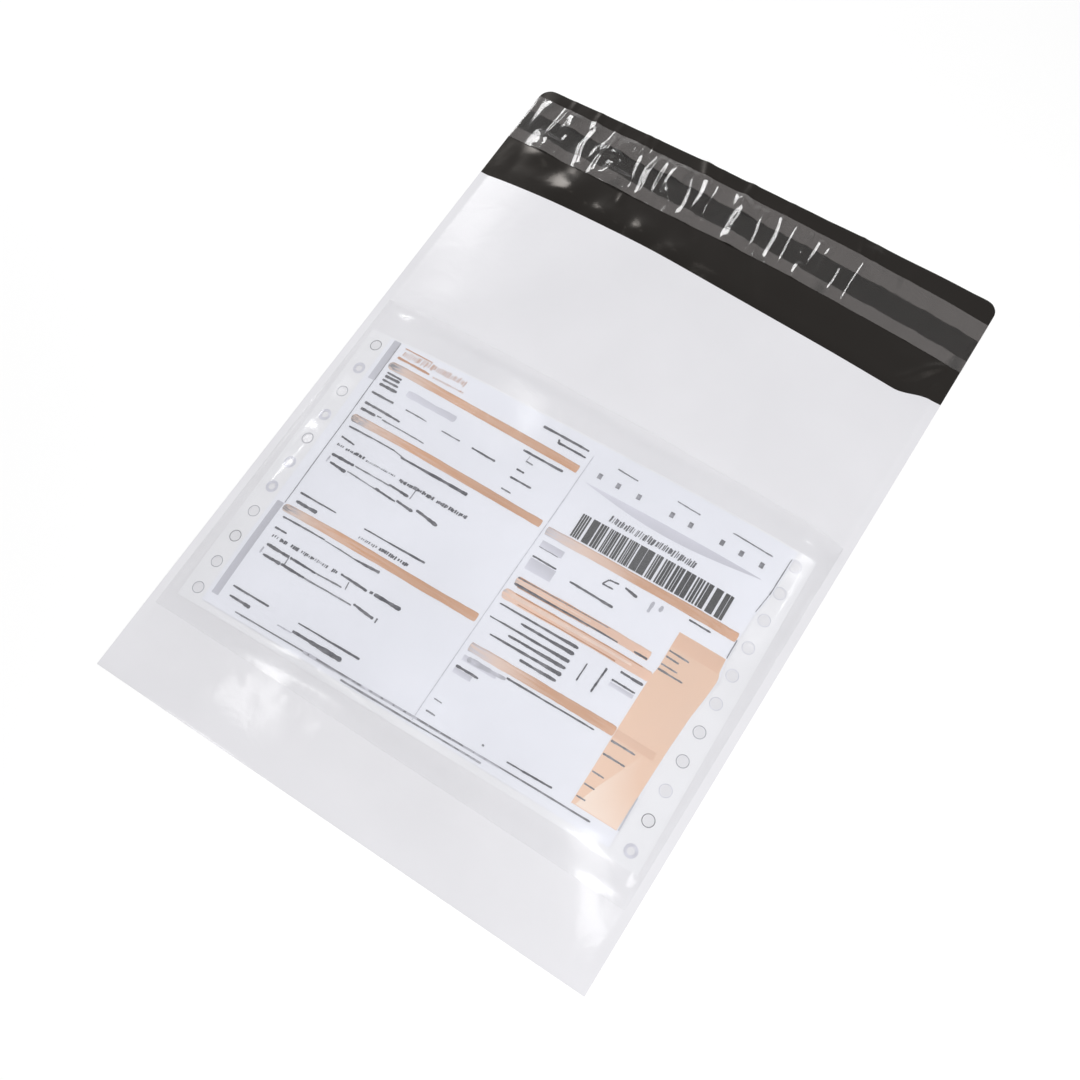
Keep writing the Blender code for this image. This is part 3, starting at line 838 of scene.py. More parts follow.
# Lines: left end, its height, right end, its height, thickness at the left and at the right
DARK_LINES = (
    (90.5, 134.4, 112.5, 133.9, 1.2, 0.9), (99.3, 131.0, 112.8, 130.7, 1.0, 0.8),
    (19.2, 124.0, 27.0, 123.5, 0.8, 0.9), (19.3, 122.2, 27.0, 122.0, 1.2, 1.2),
    (19.3, 120.2, 27.6, 119.9, 0.9, 0.9), (19.3, 117.9, 28.5, 117.6, 1.2, 1.3),
    (18.5, 113.2, 30.2, 112.7, 1.0, 0.9), (70.0, 111.5, 81.7, 111.1, 0.7, 0.9),
    (89.0, 121.1, 108.0, 120.8, 0.9, 1.0), (91.0, 112.6, 94.7, 112.5, 0.8, 0.7),
    (90.5, 108.4, 100.6, 108.3, 0.8, 0.8), (18.7, 107.8, 37.5, 106.7, 1.1, 0.9),
    (18.8, 104.6, 26.6, 104.3, 1.2, 1.1), (19.3, 95.2, 43.0, 94.7, 0.8, 0.5),
    (47.0, 93.4, 79.8, 93.0, 0.8, 1.5), (19.3, 89.8, 26.6, 88.8, 0.8, 0.7),
    (20.5, 81.1, 32.0, 80.9, 1.3, 1.1), (49.5, 81.0, 59.5, 80.4, 0.8, 1.2),
    (22.0, 77.6, 30.6, 76.8, 0.8, 1.4), (45.5, 76.8, 56.0, 75.9, 1.1, 0.7),
    (56.2, 76.6, 64.6, 75.8, 0.9, 1.2), (65.6, 77.2, 76.6, 75.6, 1.0, 1.5),
    (19.3, 60.3, 38.0, 59.8, 0.9, 0.5), (52.0, 59.8, 81.3, 59.9, 0.5, 0.9),
    (20.0, 56.3, 31.0, 56.0, 1.2, 1.5), (19.3, 48.0, 41.0, 47.8, 0.8, 0.6),
    (57.0, 47.0, 68.0, 47.4, 0.8, 1.3), (19.2, 42.6, 25.5, 42.5, 0.9, 0.7),
    (71.2, 38.9, 83.8, 38.9, 1.4, 1.6), (55.0, 39.2, 68.0, 38.5, 0.8, 1.2),
    (20.8, 35.0, 32.6, 34.6, 1.3, 1.2), (33.0, 34.7, 46.0, 34.3, 1.1, 0.8),
    (22.0, 30.6, 31.0, 30.5, 0.9, 1.4), (31.2, 30.7, 43.0, 30.4, 1.3, 0.9),
    (66.5, 31.4, 76.6, 30.3, 0.9, 1.3), (19.2, 13.9, 37.6, 13.7, 0.8, 0.8),
    (52.0, 14.0, 81.2, 14.2, 0.5, 1.0), (20.3, 9.9, 31.0, 9.6, 0.7, 1.5),
    (51.8, 10.2, 75.3, 10.2, 1.0, 2.1), (134.5, 82.3, 154.3, 81.7, 0.8, 1.1),
    (181.7, 92.7, 191.3, 92.6, 0.7, 0.7), (116.3, 70.7, 163.0, 70.6, 1.1, 0.6),
    (170.0, 70.8, 175.9, 70.8, 0.8, 1.0), (115.8, 60.9, 151.5, 60.7, 0.6, 1.2),
    (127.3, 57.9, 151.3, 57.8, 0.8, 1.5), (115.3, 54.5, 151.3, 54.4, 0.5, 1.4),
    (125.6, 51.4, 151.3, 51.4, 0.8, 1.5), (119.2, 48.3, 151.3, 48.4, 0.6, 1.5),
    (134.5, 45.4, 150.7, 45.4, 1.0, 1.3), (169.7, 61.3, 179.6, 61.2, 0.8, 1.2),
    (168.4, 57.0, 178.6, 56.9, 0.8, 0.7), (134.0, 36.9, 172.6, 36.9, 0.8, 0.6),
    (114.6, 31.3, 124.8, 31.2, 1.1, 0.9), (151.0, 9.9, 170.4, 10.4, 0.6, 0.8),
    (116.4, 84.1, 127.4, 83.9, 0.7, 0.8), (99.2, 132.5, 99.9, 131.0, 0.7, 0.8),
    (157.4, 57.5, 157.2, 49.6, 0.5, 0.6), (164.7, 59.8, 164.1, 48.6, 0.8, 0.8),
    (145.8, 88.1, 150.6, 88.2, 0.7, 0.6), (147.4, 90.8, 151.6, 91.2, 0.6, 0.7),
    (145.8, 88.1, 147.4, 90.8, 0.6, 0.6), (154.3, 91.2, 160.2, 90.1, 0.8, 1.4),
)
MID_LINES = (
    (16.1, 118.2, 16.1, 53.4, 0.35, 0.35), (16.3, 138.6, 16.3, 118.4, 0.3, 0.3),
    (36.5, 112.7, 47.2, 112.3, 0.6, 0.5), (55.0, 111.8, 64.2, 111.6, 0.6, 0.6),
    (92.6, 117.4, 96.0, 117.2, 0.6, 0.6), (90.0, 102.5, 94.6, 102.4, 0.7, 0.6),
    (27.2, 104.6, 29.6, 104.6, 0.5, 0.5), (30.2, 104.1, 51.8, 103.3, 0.6, 0.5),
    (43.0, 94.6, 50.0, 93.4, 0.5, 0.5), (32.5, 81.0, 50.0, 80.6, 0.6, 0.6),
    (31.0, 77.5, 46.0, 76.5, 0.6, 0.5), (60.7, 84.6, 60.5, 79.8, 0.5, 0.4),
    (41.5, 47.6, 57.5, 47.0, 0.4, 0.6), (59.8, 38.0, 60.2, 34.6, 0.5, 0.4),
    (46.0, 34.4, 58.4, 34.7, 0.6, 0.7), (32.5, 34.4, 32.6, 30.9, 0.5, 0.5),
    (43.0, 30.4, 66.0, 30.5, 0.7, 0.6), (78.0, 31.4, 78.0, 29.2, 0.8, 0.6),
    (26.5, 5.3, 188.6, 7.3, 0.6, 0.7), (79.0, 3.9, 143.0, 4.6, 0.7, 0.6),
    (126.6, 133.0, 136.2, 132.4, 0.6, 0.5), (154.0, 132.8, 164.6, 132.3, 0.5, 0.5),
    (179.2, 132.4, 197.0, 132.0, 0.5, 0.6), (116.3, 73.6, 157.0, 73.8, 0.7, 0.4),
    (181.3, 78.3, 190.0, 78.0, 0.7, 0.8), (181.3, 75.7, 187.0, 75.5, 0.8, 0.7),
    (181.1, 72.2, 188.2, 72.1, 0.7, 0.6), (181.0, 69.9, 191.8, 69.8, 0.9, 0.6),
    (179.9, 36.9, 190.3, 36.9, 0.9, 0.7), (179.8, 31.2, 189.2, 31.2, 0.9, 0.7),
    (179.7, 23.6, 184.8, 23.5, 0.7, 0.6), (179.5, 18.2, 184.0, 18.1, 0.7, 0.6),
    (179.3, 12.9, 183.2, 12.9, 0.6, 0.6), (114.4, 16.3, 118.0, 16.1, 0.5, 0.4),
    (114.2, 10.9, 118.4, 10.8, 0.7, 0.6), (139.6, 10.6, 140.6, 10.6, 0.9, 0.9),
    # The first two lines on this row and the first on the next are painted shade along the copy's
    # curled right edge
    (203.9, 135.2, 203.2, 117.6, 0.35, 0.5), (201.3, 95.4, 201.3, 87.0, 0.5, 0.45),
    (203.1, 117.4, 201.9, 109.0, 0.3, 0.3), (116.6, 88.7, 125.4, 88.5, 0.3, 0.3),
)
# Pale lines: the same columns
PALE_LINES = (
    # The first pale line is painted shade along the copy's fold
    (115.2, 133.0, 111.6, 5.0, 0.20, 0.20), (166.8, 92.0, 166.6, 87.0, 1.3, 1.2),
    (170.6, 92.2, 170.4, 89.5, 1.4, 1.4), (45.0, 9.3, 52.0, 9.4, 0.5, 0.6),
    (79.0, 3.9, 143.0, 4.6, 1.0, 0.5), (60.0, 5.6, 150.0, 6.7, 1.2, 0.6),
    (20.5, 33.4, 20.4, 30.4, 0.8, 0.8), (20.5, 80.0, 20.4, 77.0, 0.8, 0.7),
    (117.0, 35.6, 134.0, 36.2, 2.4, 1.2), (93.0, 120.0, 92.6, 117.0, 0.3, 0.3),
)
# Rows of short marks: left, right, height of the row's middle, the marks' height, share filled
MARK_ROWS = (
    (19.6, 23.2, 85.9, 1.2, 0.5), (24.6, 33.8, 85.7, 1.4, 0.75), (35.0, 50.0, 85.2, 1.0, 0.35),
    (52.0, 69.0, 84.8, 1.6, 0.85), (70.2, 84.9, 84.5, 1.7, 0.85), (52.0, 61.0, 55.7, 1.3, 0.45),
    (62.0, 70.2, 55.7, 1.9, 0.9), (71.0, 76.2, 55.7, 1.8, 0.85), (20.4, 23.6, 39.2, 1.6, 0.5),
    (24.6, 28.6, 39.0, 1.8, 0.9), (30.4, 33.8, 39.0, 1.8, 0.85), (35.4, 48.8, 38.9, 1.5, 0.55),
    (51.0, 53.4, 38.8, 1.7, 0.6), (69.0, 70.4, 38.8, 1.4, 0.7), (134.6, 173.2, 113.0, 3.2, 0.55),
)
# The barcode and the grey fields: left, right, bottom and top
BARCODE = (124.5, 192.4, 98.8, 109.6)
GREY_FIELDS = (
    (12.8, 16.2, 118.2, 138.8), (12.6, 16.0, 7.4, 53.2), (198.5, 199.2, 10.0, 24.0),
)
PALE_FIELDS = (
    (116.5, 126.7, 88.6, 91.8), (116.2, 127.8, 78.0, 83.2), (115.2, 130.4, 34.2, 36.6),
    (168.4, 178.6, 54.4, 56.0), (114.6, 122.6, 28.4, 30.6),
)
# A soft grey band, laid as a line
GREY_BAND = ((32.6, 119.4, 57.4, 118.9, 3.0, 2.9),)
# Short marks along the top of the right half: their middles, and the height that they share
HEADING_MARKS = (121.9, 130.4, 139.9, 155.0, 163.4, 177.5, 186.0, 195.0)
HEADING_MARK_HEIGHT = 126.6
# Brown strokes in the upper left corner: lines, and rows of short marks
BROWN_LINES = ((19.0, 132.2, 36.0, 131.3, 1.1, 1.0), (19.6, 137.3, 34.0, 136.8, 0.5, 0.5))
BROWN_ROWS = ((20.0, 52.0, 134.9, 3.2, 0.24), (38.0, 53.4, 130.9, 1.1, 0.3))
# The side column: up its height, how far its left and right edges lie from the base sheet's edge
COLUMN_HEIGHTS = (9.7, 25.0, 45.0, 60.0, 67.0, 70.0, 78.0, 81.0, 86.6)
COLUMN_LEFT = (179.0, 179.4, 179.8, 180.1, 180.4, 181.0, 181.0, 181.0, 181.1)
COLUMN_RIGHT = (198.2, 198.9, 199.7, 200.7, 201.6, 202.0, 202.7, 201.6, 201.3)
# Its darker head and stripe: left, right, bottom and top. Its paler foot: heights and left edge
COLUMN_HEAD = ((181.1, 201.2, 80.2, 86.5), (179.9, 196.8, 38.4, 41.7))
FOOT_HEIGHTS = (10.0, 20.0, 35.0, 38.2)
FOOT_LEFT = (180.6, 184.4, 191.4, 192.4)
# A painted shadow under the copy's swell, as a soft grey shape: left, right, top and depth
CRESCENT = (117.0, 199.0, 121.6, 4.4)
# The copy's wavy right edge: heights, and how far it lies from the base sheet's edge
EDGE_HEIGHTS = (0.0, 24.0, 45.0, 60.0, 71.0, 78.5, 85.0, 96.0, 106.0, 112.0, 118.0, 140.0)
EDGE_RIGHT = (198.8, 199.5, 200.1, 201.2, 202.4, 203.1, 201.8, 201.6, 202.0, 202.9, 203.9, 204.7)
# Grey rings painted round the sprocket holes as the shade at their edges, from the bottom up: inner and
# outer radius in mm, and their tone
THIN_RING, WIDE_RING = (2.25, 2.60), (1.50, 2.75)
DARK, MIDDLE, FAINT = "dark", "middle", "faint"
LEFT_RINGS = (
    (THIN_RING, MIDDLE), (THIN_RING, MIDDLE), (THIN_RING, DARK), (THIN_RING, MIDDLE),
    (WIDE_RING, FAINT), (WIDE_RING, FAINT), (THIN_RING, MIDDLE), (WIDE_RING, FAINT),
    (THIN_RING, MIDDLE), (WIDE_RING, FAINT), (THIN_RING, DARK),
)
RIGHT_RINGS = (
    (WIDE_RING, FAINT), (THIN_RING, DARK), (THIN_RING, FAINT), (THIN_RING, MIDDLE),
    (THIN_RING, MIDDLE), (THIN_RING, FAINT), (THIN_RING, FAINT), (THIN_RING, FAINT),
    (THIN_RING, FAINT), (THIN_RING, FAINT), (THIN_RING, FAINT),
)


class Press:
    """Lays print on the copy: thin slabs that follow its surface, one layer over another."""

    thickness = 0.02 * MM
    along = 49
    ring_steps = 48
    mark_pitch = 0.95
    # The barcode: its bar and gap, how much wider or narrower they come, and its runs
    bar, gap = 0.74, 0.27
    bar_shares, gap_shares = (0.7, 1.0, 1.6), (0.8, 1.0, 1.3)
    run_lengths, run_shares, run_gaps = (2.4, 4.6), (0.9, 1.0, 1.0, 1.7, 2.6), (0.3, 0.8)

    def __init__(self, shape, seed=3):
        self.shape = shape
        self.rng = np.random.default_rng(seed)
        self.lift = 0.0

    def layer(self, number):
        """Each layer's underside clears the top of the one below it."""
        self.lift = (0.01 + 0.03 * number) * MM

    def lay(self, u, v):
        """Slabs from grids (slabs, along, across) of places in millimetres."""
        u, v = u * MM, v * MM
        x, y = self.shape.turned(u, v)
        return slab_arrays(x, y, self.shape.copy_top(u, v) + self.lift, self.thickness)

    def unsteady(self, count, height, waves_along):
        """Slow wobbles along each of several lines: three sines of random phase."""
        t = np.linspace(0, 1, self.along)[None, :, None]
        turns = np.array([1.0, 2.3, 3.7])[None, None, :] * waves_along
        phase = self.rng.uniform(0, 2 * math.pi, (count, 1, 3))
        return height * (np.sin(2 * math.pi * turns * t + phase) / (1, 1.6, 2.2)).sum(axis=-1)

    def lines(self, rows, across=2, wobble=0.03, uneven=0.10, round_left=0.5, round_right=0.5):
        """Lines that waver in place and in thickness.

        Their stations crowd towards the ends, (1 - cos(pi s)) / 2 of the run. Each end is a
        circle's arc over a share of the thickness.
        """
        table = np.array(rows)
        start, end = table[:, None, 0:2], table[:, None, 2:4]
        t = (1 - np.cos(np.linspace(0, math.pi, self.along)))[None, :, None] / 2
        run = end - start
        reach = np.linalg.norm(run, axis=2, keepdims=True)
        side = np.concatenate([-run[..., 1:], run[..., :1]], axis=2) / reach
        waver = self.unsteady(len(rows), wobble, 1.3)[..., None]
        middle = start + run * t + side * waver * np.minimum(reach / 12.0, 1.0)
        thick = table[:, None, 4:5] * (1 - t) + table[:, None, 5:6] * t
        near_left = np.clip(t * reach / (round_left * thick), 0.05, 1.0)
        near_right = np.clip((1 - t) * reach / (round_right * thick), 0.05, 1.0)
        near_end = np.minimum(near_left, near_right)
        thick = thick * np.sqrt(1 - (1 - near_end) ** 2)
        ragged = self.rng.uniform(-1, 1, (len(rows), self.along, 1))
        thick = thick * (1 + self.unsteady(len(rows), uneven, 2.0)[..., None] + uneven * ragged)
        spread = np.linspace(-0.5, 0.5, across)[None, None, :, None]
        places = middle[:, :, None, :] + side[:, :, None, :] * thick[:, :, None, :] * spread
        return self.lay(places[..., 0], places[..., 1])

    def blocks(self, left, right, low, high, lean=0.0, along=7):
        """Upright blocks, each from its left, right, bottom and top, leaning by a share."""
        v = low[:, None, None] + (high - low)[:, None, None] * np.linspace(0, 1, along)[None, :, None]
        u = np.stack([left, right], axis=1)[:, None, :] + 0 * v
        u = u + lean * (v - low[:, None, None])
        return self.lay(u, v + 0 * u)

    def field(self, left, right, low, high, step=2.0):
        """One field from its edges, which may be arrays up its height."""
        up = max(3, round((high - low) / step) + 1)
        over = max(3, round(float(np.max(right - left)) / step) + 1)
        v = np.linspace(low, high, up)[:, None]
        share = np.linspace(0, 1, over)[None, :]
        left = np.broadcast_to(np.asarray(left, dtype=float), (up,))[:, None]
        right = np.broadcast_to(np.asarray(right, dtype=float), (up,))[:, None]
        u = left + (right - left) * share
        return self.lay(u[None], (v + 0 * u)[None])

    def mark_row(self, left, right, middle, height, filled):
        """Short upright marks along a row, for words too small to read."""
        count = max(2, round((right - left) / self.mark_pitch))
        place = left + (right - left) * (np.arange(count) + 0.5) / count
        place = place + self.rng.uniform(-0.22, 0.22, count)
        width = np.clip(self.rng.normal(filled, 0.18, count), 0.25, 0.95) * self.mark_pitch
        tall = height * self.rng.uniform(0.55, 1.0, count)
        centre = middle + self.rng.uniform(-0.18, 0.18, count) * height * 0.5
        return self.blocks(
            place - width / 2, place + width / 2, centre - tall / 2, centre + tall / 2, 0.12, 3
        )

    def barcode(self, left, right, low, high):
        """Upright bars in close runs, now and then a solid block, drawn from a fixed seed."""
        place, edges = left, []
        while place < right:
            run_end = min(place + float(self.rng.uniform(*self.run_lengths)), right)
            coarse = float(self.rng.choice(self.run_shares))
            while place < run_end:
                width = self.bar * coarse * float(self.rng.choice(self.bar_shares))
                edges.append((place, min(place + width, right)))
                place += width + self.gap * float(self.rng.choice(self.gap_shares))
            place += float(self.rng.uniform(*self.run_gaps))
        starts, ends = np.array(edges).T
        return self.blocks(starts, ends, np.full_like(starts, low), np.full_like(starts, high))

    def rings(self, side, rows, tone):
        """Closed flat rings of painted shade round the sprocket holes' edges, on the base sheet: a
        tube's grid of corners.
        """
        waybill = self.shape.waybill
        numbers = [number for number, row in enumerate(rows) if row[1] == tone]
        inner, outer = (np.array([rows[number][0][k] for number in numbers]) * MM for k in (0, 1))
        steps = self.ring_steps
        turn = np.linspace(0, 2 * math.pi, steps, endpoint=False)[None, :, None]
        reach = np.stack([inner, outer, outer, inner], axis=1)[:, None, :]
        u = side + reach * np.cos(turn)
        v = waybill.hole_pitch * (np.array(numbers) + 0.5)[:, None, None] + reach * np.sin(turn)
        x, y = self.shape.turned(u, v)
        above = waybill.paper + 0.01 * MM + np.array([1, 1, 0, 0]) * self.thickness
        points = np.stack([x, y + FOLD_Y, self.shape.base_under(x, y) + above], axis=-1)
        around = np.arange(steps)[:, None]
        corner = np.arange(4)[None, :]
        ahead, beside = (around + 1) % steps, (corner + 1) % 4
        quads = np.stack([
            around * 4 + corner, ahead * 4 + corner, ahead * 4 + beside, around * 4 + beside,
        ], axis=-1).reshape(1, -1, 4)
        faces = (quads + np.arange(len(numbers))[:, None, None] * 4 * steps).reshape(-1, 4)
        return points.reshape(-1, 3), faces, np.zeros((len(numbers) * 4 * steps, 2))


class MAILER_OT_bag_film(Operator):
    """Folds one film into the bag, its back panel running on as the flap"""

    bl_idname = "mailer.bag_film"
    bl_label = "Bag film"
    step_across = 1.25 * MM
    back_overlap = 10 * MM
    weld_points, corner_points = 4, 9
    # Where the even weld columns end, as a share of the flap's corner short of the edge
    weld_short = 0.3
    flap_rows, back_rows, bend_rows, front_rows = 52, 26, 7, 132

    def execute(self, context):
        shape = MailerShape(context.scene)
        film = shape.film
        weld_end = shape.half - film.flap_corner * self.weld_short
        weld = np.linspace(shape.inside, weld_end, self.weld_points)
        turn = np.linspace(0, np.pi / 2, self.corner_points)
        corner = shape.half - film.flap_corner * (1 - np.sin(turn))
        right = np.unique(np.concatenate([weld, corner]).round(7))
        right = right[right >= shape.inside]
        between = stations(-shape.inside, shape.inside, self.step_across)[1:-1]
        x = np.concatenate([-right[::-1], between, right])
        gauge, half_gauge = film.gauge, film.gauge / 2
        back_end = shape.body - self.back_overlap
        grids = []
        for share in np.linspace(1, 0, self.flap_rows, endpoint=False):
            y = back_end + share * (shape.flap_end(x) - back_end)
            grids.append((y, half_gauge + shape.flap_rise(x, y)))
        bend = (gauge + shape.slip) / 2
        for along in np.linspace(back_end, half_gauge + bend, self.back_rows):
            y = np.full_like(x, along)
            grids.append((y, half_gauge + shape.flap_rise(x, y)))
        for turn in np.linspace(0, np.pi, self.bend_rows)[1:-1]:
            y = np.full_like(x, half_gauge + bend * (1 - math.sin(turn)))
            grids.append((y, np.full_like(x, half_gauge + bend * (1 - math.cos(turn)))))
        first = (half_gauge + bend) / shape.body
        for share in np.linspace(first, 1, self.front_rows):
            y = share * shape.mouth(x)
            grids.append((y, shape.front_top(x, y) - half_gauge))
        y = np.stack([row[0] for row in grids])
        z = np.stack([row[1] for row in grids])
        mesh = grid_mesh("bag_film_shell", np.broadcast_to(x, y.shape), y, z)
        finishes = (
            film_finish(
                "White film", film.outside, roughness=(0.28, 0.33), crinkle=0.12 * MM, gloss=0.20,
                skin=0.50, tint=(1.0, 1.0, 1.0),
            ),
            film_finish(
                "Black film", film.inside, roughness=(0.18, 0.26), crinkle=0.16 * MM, gloss=0.30,
                skin=0.0, tint=(1.0, 0.92, 0.85),
            ),
        )
        piece = add_piece("bag_film_shell", mesh, finishes, "bag_film", "bag_film")
        wall = add_wall(piece, gauge, 0.0)
        wall.material_offset = 1
        crisp_border(mesh)
        return {"FINISHED"}


class MAILER_OT_document_pouch(Operator):
    """Welds the clear film to the front panel along three sides"""

    bl_idname = "mailer.document_pouch"
    bl_label = "Document pouch"
    step_across = 1.25 * MM
    step_along = 1.3 * MM

    def execute(self, context):
        shape = MailerShape(context.scene)
        pouch = shape.pouch
        if shape.waybill.bottom < pouch.bottom:
            raise ValueError("The waybill reaches below the pouch's bottom weld")
        columns = stations(-shape.pouch_half, shape.pouch_half, self.step_across)
        rows = stations(pouch.bottom, pouch.bottom + pouch.height, self.step_along)
        x, y = np.meshgrid(columns, rows)
        mesh = grid_mesh("pouch_film", x, y, shape.pouch_under(x, y))
        piece = add_piece(
            "pouch_film", mesh, (pouch_finish(pouch), welded_finish()), "pouch_film", "document_pouch"
        )
        wall = add_wall(piece, pouch.gauge, 1.0)
        wall.material_offset_rim = 1
        crisp_border(mesh)
        return {"FINISHED"}


class MAILER_OT_waybill_sheets(Operator):
    """Lays the punched base sheet and the copy in the pouch"""

    bl_idname = "mailer.waybill_sheets"
    bl_label = "Waybill sheets"
    base_step = 2.0 * MM
    copy_step = 1.7 * MM
    copy_columns = 118
    pin_length, pin_sides = 40 * MM, 36
    sharp_from = math.radians(50)

    def execute(self, context):
        shape = MailerShape(context.scene)
        self.base_sheet(shape)
        self.copy_sheet(shape)
        return {"FINISHED"}

    def base_sheet(self, shape):
        waybill = shape.waybill
        u, v = np.meshgrid(
            stations(0.0, waybill.width, self.base_step),
            stations(0.0, shape.sheet_length, self.base_step),
        )
        x, y = shape.turned(u, v)
        mesh = grid_mesh("base_sheet", x, y, shape.base_under(x, y))
        finish = paper_finish("Base paper", waybill.base_colour, 0.55)
        piece = add_piece("base_sheet", mesh, (finish,), "base_paper", "waybill_base_sheet")
        add_wall(piece, waybill.paper, 1.0)
        pins = self.hole_pins(shape)
        punch = piece.modifiers.new("Sprocket holes", "BOOLEAN")
        punch.operation = "DIFFERENCE"
        punch.solver = "EXACT"
        punch.object = pins
        bake_modifiers(piece)
        piece.data.set_sharp_from_angle(angle=self.sharp_from)
        bpy.data.objects.remove(pins, do_unlink=True)

    def hole_pins(self, shape):
        """Pins through the base sheet where its holes go."""
        waybill = shape.waybill
        work = bmesh.new()
        for side in (waybill.hole_inset, waybill.width - waybill.hole_inset):
            for number in range(waybill.hole_count):
                pin = bmesh.ops.create_cone(
                    work, cap_ends=True, segments=self.pin_sides, radius1=waybill.hole_radius,
                    radius2=waybill.hole_radius, depth=self.pin_length,
                )
                x, y = shape.turned(side, waybill.hole_pitch * (number + 0.5))
                bmesh.ops.translate(work, verts=pin["verts"], vec=(x, y + FOLD_Y, 0.0))
        mesh = bpy.data.meshes.new("sprocket_pins")
        work.to_mesh(mesh)
        work.free()
        pins = bpy.data.objects.new("sprocket_pins", mesh)
        bpy.context.scene.collection.objects.link(pins)
        return pins

    def copy_sheet(self, shape):
        waybill = shape.waybill
        top = shape.sheet_length - waybill.copy_top
        rows = stations(waybill.copy_bottom, top, self.copy_step)
        share = np.linspace(0, 1, self.copy_columns)[None, :]
        v = rows[:, None] + 0 * share
        right = np.interp(v / MM, EDGE_HEIGHTS, EDGE_RIGHT) * MM
        u = waybill.copy_left + (right - waybill.copy_left) * share
        x, y = shape.turned(u, v)
        mesh = grid_mesh("printed_copy", x, y, shape.copy_under(u, v))
        finish = paper_finish("Copy paper", waybill.copy_colour, 0.5)
        piece = add_piece("printed_copy", mesh, (finish,), "copy_paper", "waybill_top_copy")
        add_wall(piece, waybill.paper, 1.0)
        crisp_border(mesh)


def bake_modifiers(piece):
    """Takes a piece's mesh as its modifiers leave it, and drops them."""
    seen = piece.evaluated_get(bpy.context.evaluated_depsgraph_get())
    made = bpy.data.meshes.new_from_object(seen)
    piece.modifiers.clear()
    piece.data = made


